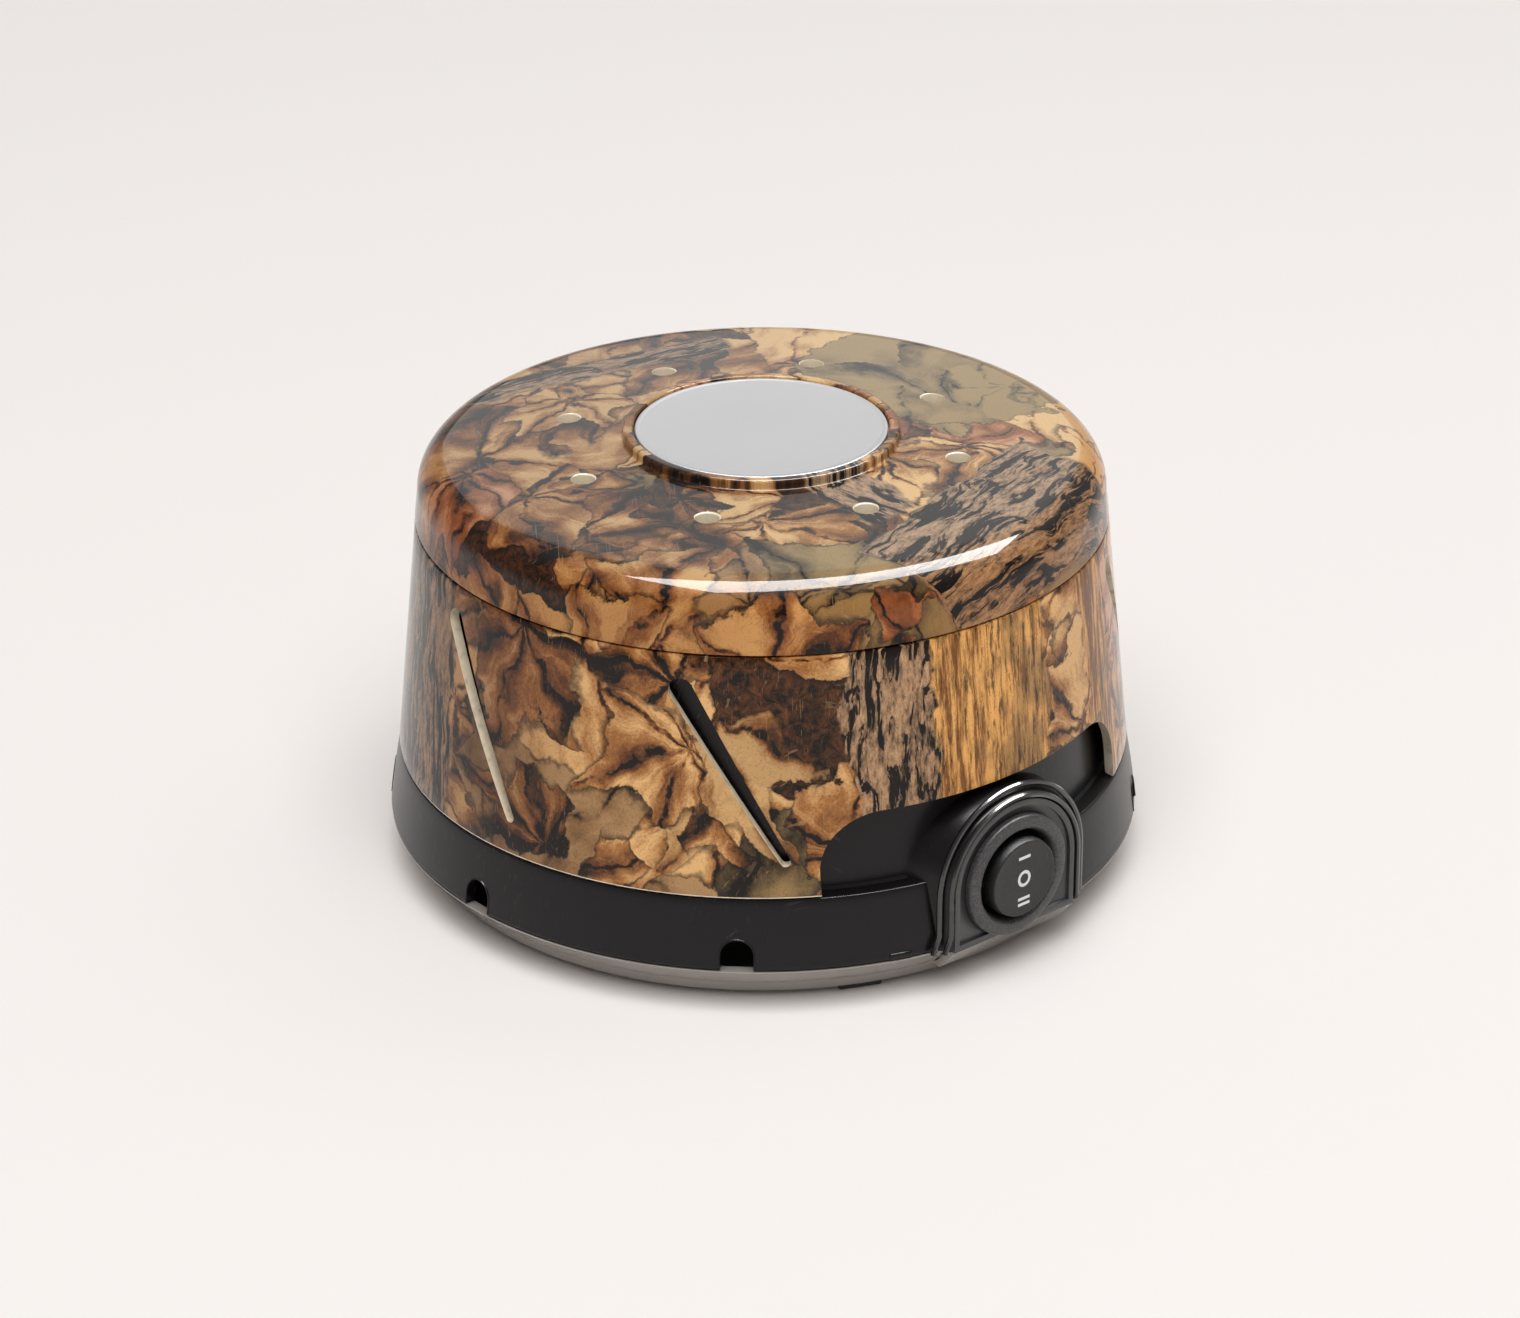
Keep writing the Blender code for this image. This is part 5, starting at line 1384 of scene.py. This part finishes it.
class MACHINE_OT_panel(bpy.types.Operator):
    """Arched switch panel with a raised rim, a slanted lip at its foot and the round hole for the switch"""

    bl_idname = "machine.panel"
    bl_label = "Switch panel"
    bl_options = {"REGISTER", "UNDO"}

    def execute(self, context):
        coat = {"coat_weight": 0.25, "coat_roughness": 0.22}
        grey = moulded("panel_grey", paint_of("panel_plastic"), 0.36, 6.0, 0.01, **coat)
        half = PANEL_HALF
        back = PANEL_HIGH.y
        foot = PANEL_LOW.z
        face = HOOD_Y + 0.8
        rim_half = half - 1.2
        depths = [(HOOD_Y, half, half), (back, half, half)]
        plate = arch_block("panel_plate", half, SWITCH_Z, foot + 4.5, depths)
        dress(plate, grey)
        edge = arch_block(
            "panel_recess",
            rim_half,
            SWITCH_Z,
            foot + 5.7,
            [(HOOD_Y - 2.0, rim_half, rim_half), (face, rim_half, rim_half)],
        )
        cut(plate, dress(edge, grey))
        near, far = (0.0, -CUTTER_FAR, SWITCH_Z), (0.0, -50.0, SWITCH_Z)
        hole = rod("switch_hole_cutter", SWITCH_HOLE_R, near, far, MIDDLE_SIDES)
        cut(plate, dress(hole, grey))
        lip = block("panel_lip", (-half, HOOD_Y, foot), (half, HOOD_Y + 1.8, foot + 4.6), 0.0)
        edit()
        pick(lip, lambda point: point.z < foot + 0.1)
        bpy.ops.transform.translate(value=(0.0, 4.0 * MM, 0.0))
        finish_edit()
        # The lip takes the pan's light grey: a painted reflection
        satin = moulded("lip_satin", paint_of("pan_plastic"), 0.26, 4.0, 0.01, **SATIN_COAT)
        join(plate, dress(lip, satin))
        plate.name = "panel_plate"
        only(plate)
        settings = {"width": 0.18 * MM, "segments": 2}
        applied(plate, "BEVEL", limit_method="ANGLE", angle_limit=SMOOTH_ANGLE, **settings)
        finished(plate, "base", "panel_plastic", "switch_panel")
        return {"FINISHED"}


class MACHINE_OT_switch(bpy.types.Operator):
    """Round rocker switch: rounded bezel, dished rocker and its three raised marks"""

    bl_idname = "machine.switch"
    bl_label = "Rocker switch"
    bl_options = {"REGISTER", "UNDO"}

    def execute(self, context):
        grain = moulded("switch_grain", shaded(paint_of("panel_plastic"), 0.9), 0.40, 2.4, 0.10, 0.06, 0.5)
        face_r = BEZEL_R
        back = BEZEL_Y - SWITCH_HIGH.y
        profile = [(8.8, -7.0), (8.8, -1.9)]
        profile += [(8.95, -1.0), (9.3, -0.35)]
        profile += arc((9.9, -0.62), 0.62, 0.62, 150.0, 90.0, 4)
        profile += [(10.9, -0.02), (11.3, -0.14)]
        profile += arc((face_r - 0.62, -0.78), 0.62, 0.6, 78.0, 0.0, 6)
        profile += [(face_r, -1.6), (9.9, -1.6), (9.9, -4.0), (9.9, back + 0.5), (9.4, back)]
        profile += [(2.0, back), (2.0, back + 1.2), (8.8, back + 1.2)]
        body = lathe("switch_bezel", profile, MIDDLE_SIDES * 2, solid=False)
        face_front(body, BEZEL_Y, SWITCH_Z)
        dress(body, grain)
        finished(body, "base", "switch_plastic", "switch_body")
        self.rocker()
        self.marks()
        return {"FINISHED"}

    def rocker(self):
        """The rocker: a cone-sided disc with a rounded edge, hollowed a little across its face."""
        black = moulded("rocker_grain", shaded(paint_of("switch_plastic"), 0.45), 0.36, 2.4, 0.08, 0.05, 0.5)
        # The rocker's sides are painted near black: a painted shade of the recess round the rocker
        side = moulded("rocker_side", shaded(paint_of("switch_plastic"), 0.12), 0.5, 2.4, 0.08, 0.05, 0.6)
        thick = ROCKER_HIGH.y - ROCKER_Y
        edge = ROCKER_R
        profile = [(0.6, -thick), (edge - 0.5, -thick), (edge - 0.1, -thick + 0.4), (edge, -1.4)]
        profile += arc((edge - 0.5, -0.3), 0.3, 0.3, 12.0, 90.0, 4)
        profile += [(edge - 0.75, -0.03), (edge - 1.0, -0.06), (edge - 3.0, -0.09), (0.6, -0.09)]
        disc = lathe("rocker_button", profile, MIDDLE_SIDES * 2)
        face_front(disc, ROCKER_Y, SWITCH_Z)
        bore = rod("rocker_bore", 1.15, (-12.0, ROCKER_Y + 4.0, SWITCH_Z), (12.0, ROCKER_Y + 4.0, SWITCH_Z))
        dress(disc, black, side)
        for face in disc.data.polygons:
            face.material_index = 0 if face.normal.y < -0.6 else 1
        cut(disc, dress(bore, side))
        finished(disc, "rocker", "switch_plastic", "switch_rocker")

    def marks(self):
        """One bar, a ring and two bars, raised a hair from the rocker's face."""
        white = ink()
        y = ROCKER_Y + 0.09
        half = mm_of("mark_length") / 2
        stroke = mm_of("mark_stroke") / 2
        bars = [(4.4, "mark_one"), (-4.7 + 0.58, "mark_two_upper"), (-4.7 - 0.58, "mark_two_lower")]
        for height, name in bars:
            z = SWITCH_Z + height
            bar = block(name, (-half, y - 0.05, z - stroke), (half, y + 0.2, z + stroke), 0.04, 1)
            dress(bar, white)
            finished(bar, "rocker", "switch_plastic")
        ring = start(
            bpy.ops.mesh.primitive_torus_add,
            "mark_ring",
            major_segments=SMALL_SIDES,
            minor_segments=8,
            major_radius=1.28 * MM,
            minor_radius=stroke * MM,
        )
        edit()
        bpy.ops.transform.resize(value=(1.0, 1.06, 0.18))
        finish_edit()
        face_front(ring, y, SWITCH_Z)
        dress(ring, white)
        finished(ring, "rocker", "switch_plastic")


class MACHINE_OT_grommet(bpy.types.Operator):
    """Rubber grommet in the cord inlet, its flange and lips rounded"""

    bl_idname = "machine.grommet"
    bl_label = "Cord grommet"
    bl_options = {"REGISTER", "UNDO"}

    def execute(self, context):
        outer_y = GROMMET_HIGH.y
        inner = outer_y - GROMMET_LOW.y
        flange = (GROMMET_HIGH.x - GROMMET_LOW.x) / 2
        profile = [(3.1, -0.4)]
        profile += arc((3.75, -0.6), 0.6, 0.6, 150.0, 90.0, 3)
        profile += arc((flange - 0.6, -0.6), 0.6, 0.6, 80.0, 0.0, 4)
        profile += [(flange, -1.7), (4.0, -1.7), (4.0, -inner + 1.7), (4.6, -inner + 1.7)]
        profile += [(4.6, -inner + 0.4), (4.3, -inner), (3.1, -inner)]
        ring = lathe("grommet_ring", profile, MIDDLE_SIDES, solid=False)
        put(ring, (0.0, outer_y, INLET_Z), (-math.pi / 2, 0.0, 0.0))
        dress(ring, moulded("grommet_rubber", paint_of("rubber"), 0.55, 4.0, 0.02))
        finished(ring, "base", "rubber", "cord_grommet")
        return {"FINISHED"}


class MACHINE_OT_works(bpy.types.Operator):
    """Finishes for the motor, the fan and the other inner parts, which keep the frame's own shapes"""

    bl_idname = "machine.works"
    bl_label = "Motor and fan"
    bl_options = {"REGISTER", "UNDO"}

    def execute(self, context):
        steel = metal("drawn_steel", linear(178, 178, 180) + (1.0,), 0.26)
        zinc = metal("zinc_plate", linear(176, 178, 184) + (1.0,), 0.32, (0.2, 2.2, 0.2))
        brass = metal("terminal_brass", linear(206, 176, 104) + (1.0,), 0.3, (1.4, 0.2, 1.4))
        bronze = metal("bush_bronze", linear(150, 104, 62) + (1.0,), 0.42, (2.0, 2.0, 2.0))
        copper = metal("ring_copper", linear(186, 104, 70) + (1.0,), 0.3, (0.4, 2.0, 2.0))
        iron = laminated()
        rubber = moulded("mount_rubber", paint_of("rubber"), 0.6, 4.0, 0.02)
        nylon = moulded("nylon", linear(206, 198, 178) + (1.0,), 0.42, 5.0, 0.01, 0.05)
        fan = moulded("fan_moulding", linear(200, 194, 180) + (1.0,), 0.4, 4.0, 0.015, 0.05)
        sheath = moulded("lead_sheath", linear(34, 34, 36) + (1.0,), 0.4, 6.0, 0.01)
        finishes = {
            steel: [
                "rocker_pin",
                "motor_shaft",
                "fan_clip",
                "cap_retainer",
                "motor_screw_left",
                "motor_screw_right",
            ],
            zinc: ["lower_bracket", "upper_bracket"],
            brass: ["switch_terminal_1", "switch_terminal_2", "switch_terminal_3"],
            bronze: ["lower_bush", "upper_bush"],
            copper: ["shading_ring_1", "shading_ring_2"],
            iron: ["stator_stack", "rotor"],
            wound(): ["coil_winding"],
            nylon: ["coil_bobbin"],
            fan: ["fan_wheel"],
            rubber: ["isolator_left", "isolator_right"],
            sheath: ["motor_lead_1", "motor_lead_2"],
        }
        for finish, nodes in finishes.items():
            for node in nodes:
                for slot in bpy.data.objects[node].material_slots:
                    slot.material = finish
        return {"FINISHED"}


# ---------------------------------------------------------------- stage

CAMERA_AZIMUTH = math.radians(-39.5)
CAMERA_RISE = math.radians(26.05)
CAMERA_DISTANCE = 0.8508
CAMERA_ROLL = math.radians(-0.32)
CAMERA_LENS = 103.73
CAMERA_TARGET_Z = 0.03635
CAMERA_SHIFT_M = -0.00051
# The surroundings are brighter towards the horizon: between which heights, and the two levels
WORLD_RISE = (0.02, 0.20)
HORIZON_LEVEL = 0.6
WORLD_LEVEL = 0.3
# Each lamp: name, (azimuth, height angle, distance), width, height, watts, whether it lights surfaces or
# only shows in their gloss, and its turn about Z if it lies level
LAMPS = (
    ("fill_softbox", (-39.5, 70.0, 4.0), 3.4, 3.4, 152.0, True, None),
    ("veil_softbox", (140.5, 27.5, 1.7), 1.25, 0.82, 2.7, False, None),
    ("shoulder_softbox", (81.5, 71.0, 1.05), 1.3, 0.5, 56.0, False, -12.9),
)


def towards(azimuth, rise):
    """Unit vector at an azimuth and a height angle, both in radians."""
    level = math.cos(rise)
    return Vector((math.sin(azimuth) * level, -math.cos(azimuth) * level, math.sin(rise)))


class MACHINE_OT_stage(bpy.types.Operator):
    """Pale floor, soft studio lights and the camera"""

    bl_idname = "machine.stage"
    bl_label = "Stage"
    bl_options = {"REGISTER", "UNDO"}

    def execute(self, context):
        self.floor()
        self.world()
        self.camera()
        for lamp in LAMPS:
            self.softbox(*lamp)
        return {"FINISHED"}

    def floor(self):
        """A wide sheet whose edge lies out of sight."""
        sheet = start(bpy.ops.mesh.primitive_circle_add, "floor", vertices=64, radius=6.0, fill_type="NGON")
        finish = Finish("floor_paper")
        cloud = finish.noise(finish.spot, 0.004, 2.0)
        shown = finish.mix(cloud, shaded(paint_of("backdrop"), 0.995), paint_of("backdrop"))
        dress(sheet, finish.feed(base_color=shown, roughness=0.85 + cloud * 0.05))

    def world(self):
        world = bpy.data.worlds.new("studio")
        world.use_nodes = True
        bpy.context.scene.world = world
        tree = world.node_tree
        background = tree.nodes["Background"]
        background.inputs["Color"].default_value = paint_of("backdrop")
        spot = tree.nodes.new("ShaderNodeTexCoord")
        parts = tree.nodes.new("ShaderNodeSeparateXYZ")
        level = tree.nodes.new("ShaderNodeMapRange")
        level.interpolation_type = "SMOOTHSTEP"
        for socket, value in zip(list(level.inputs)[1:5], (*WORLD_RISE, HORIZON_LEVEL, WORLD_LEVEL)):
            socket.default_value = value
        tree.links.new(spot.outputs["Generated"], parts.inputs[0])
        tree.links.new(parts.outputs["Z"], level.inputs[0])
        tree.links.new(level.outputs[0], background.inputs["Strength"])

    def softbox(self, name, where, width, height, watts, fills, level_turn):
        """A rectangular lamp: it fills or it gleams, and it faces the machine unless it lies level."""
        azimuth, rise, distance = where
        lamp = bpy.data.lights.new(name, "AREA")
        lamp.shape = "RECTANGLE"
        lamp.size = width
        lamp.size_y = height
        lamp.energy = watts
        holder = bpy.data.objects.new(name, lamp)
        bpy.context.scene.collection.objects.link(holder)
        away = towards(math.radians(azimuth), math.radians(rise))
        holder.location = Vector((0.0, 0.0, 0.05)) + away * distance
        if level_turn is None:
            holder.rotation_euler = away.to_track_quat("Z", "Y").to_euler()
        else:
            holder.rotation_euler = (0.0, 0.0, math.radians(level_turn))
        holder.visible_diffuse = fills
        holder.visible_glossy = not fills

    def camera(self):
        lens = bpy.data.cameras.new("camera")
        lens.lens = CAMERA_LENS
        lens.sensor_width = 36.0
        lens.clip_start = 0.01
        holder = bpy.data.objects.new("camera", lens)
        bpy.context.scene.collection.objects.link(holder)
        away = towards(CAMERA_AZIMUTH, CAMERA_RISE)
        aside = Vector((math.cos(CAMERA_AZIMUTH), math.sin(CAMERA_AZIMUTH), 0.0))
        target = Vector((0.0, 0.0, CAMERA_TARGET_Z)) + aside * CAMERA_SHIFT_M
        turned = away.to_track_quat("Z", "Y").to_matrix() @ Matrix.Rotation(CAMERA_ROLL, 3, "Z")
        holder.matrix_world = Matrix.Translation(target + away * CAMERA_DISTANCE) @ turned.to_4x4()
        bpy.context.scene.camera = holder
        bpy.context.scene.view_settings.view_transform = "Standard"


# ---------------------------------------------------------------- add-on

OPERATORS = (
    MACHINE_OT_housing,
    MACHINE_OT_base,
    MACHINE_OT_panel,
    MACHINE_OT_switch,
    MACHINE_OT_grommet,
    MACHINE_OT_works,
    MACHINE_OT_collar,
    MACHINE_OT_cap,
    MACHINE_OT_badge,
    MACHINE_OT_stage,
)


class MACHINE_PT_panel(bpy.types.Panel):
    """Sidebar panel that lists the machine's pieces, sizes and colours"""

    bl_idname = "MACHINE_PT_panel"
    bl_label = "Fan Sound Machine"
    bl_space_type = "VIEW_3D"
    bl_region_type = "UI"
    bl_category = "Sound Machine"

    def draw(self, context):
        layout = self.layout
        for operator in OPERATORS:
            layout.operator(operator.bl_idname)
        scene = context.scene
        for group, title in ((scene.machine_sizes, "Sizes"), (scene.machine_colours, "Colours")):
            box = layout.box()
            box.label(text=title)
            for name in type(group).__annotations__:
                box.prop(group, name)


CLASSES = (MachineSizes, MachineColours, *OPERATORS, MACHINE_PT_panel)


def register():
    for item in CLASSES:
        bpy.utils.register_class(item)
    bpy.types.Scene.machine_sizes = bpy.props.PointerProperty(type=MachineSizes)
    bpy.types.Scene.machine_colours = bpy.props.PointerProperty(type=MachineColours)


def unregister():
    del bpy.types.Scene.machine_colours
    del bpy.types.Scene.machine_sizes
    for item in reversed(CLASSES):
        bpy.utils.unregister_class(item)


def main():
    register()
    for operator in OPERATORS:
        group, name = operator.bl_idname.split(".")
        getattr(getattr(bpy.ops, group), name)()
    bpy.context.view_layer.update()


if __name__ == "__main__":
    main()
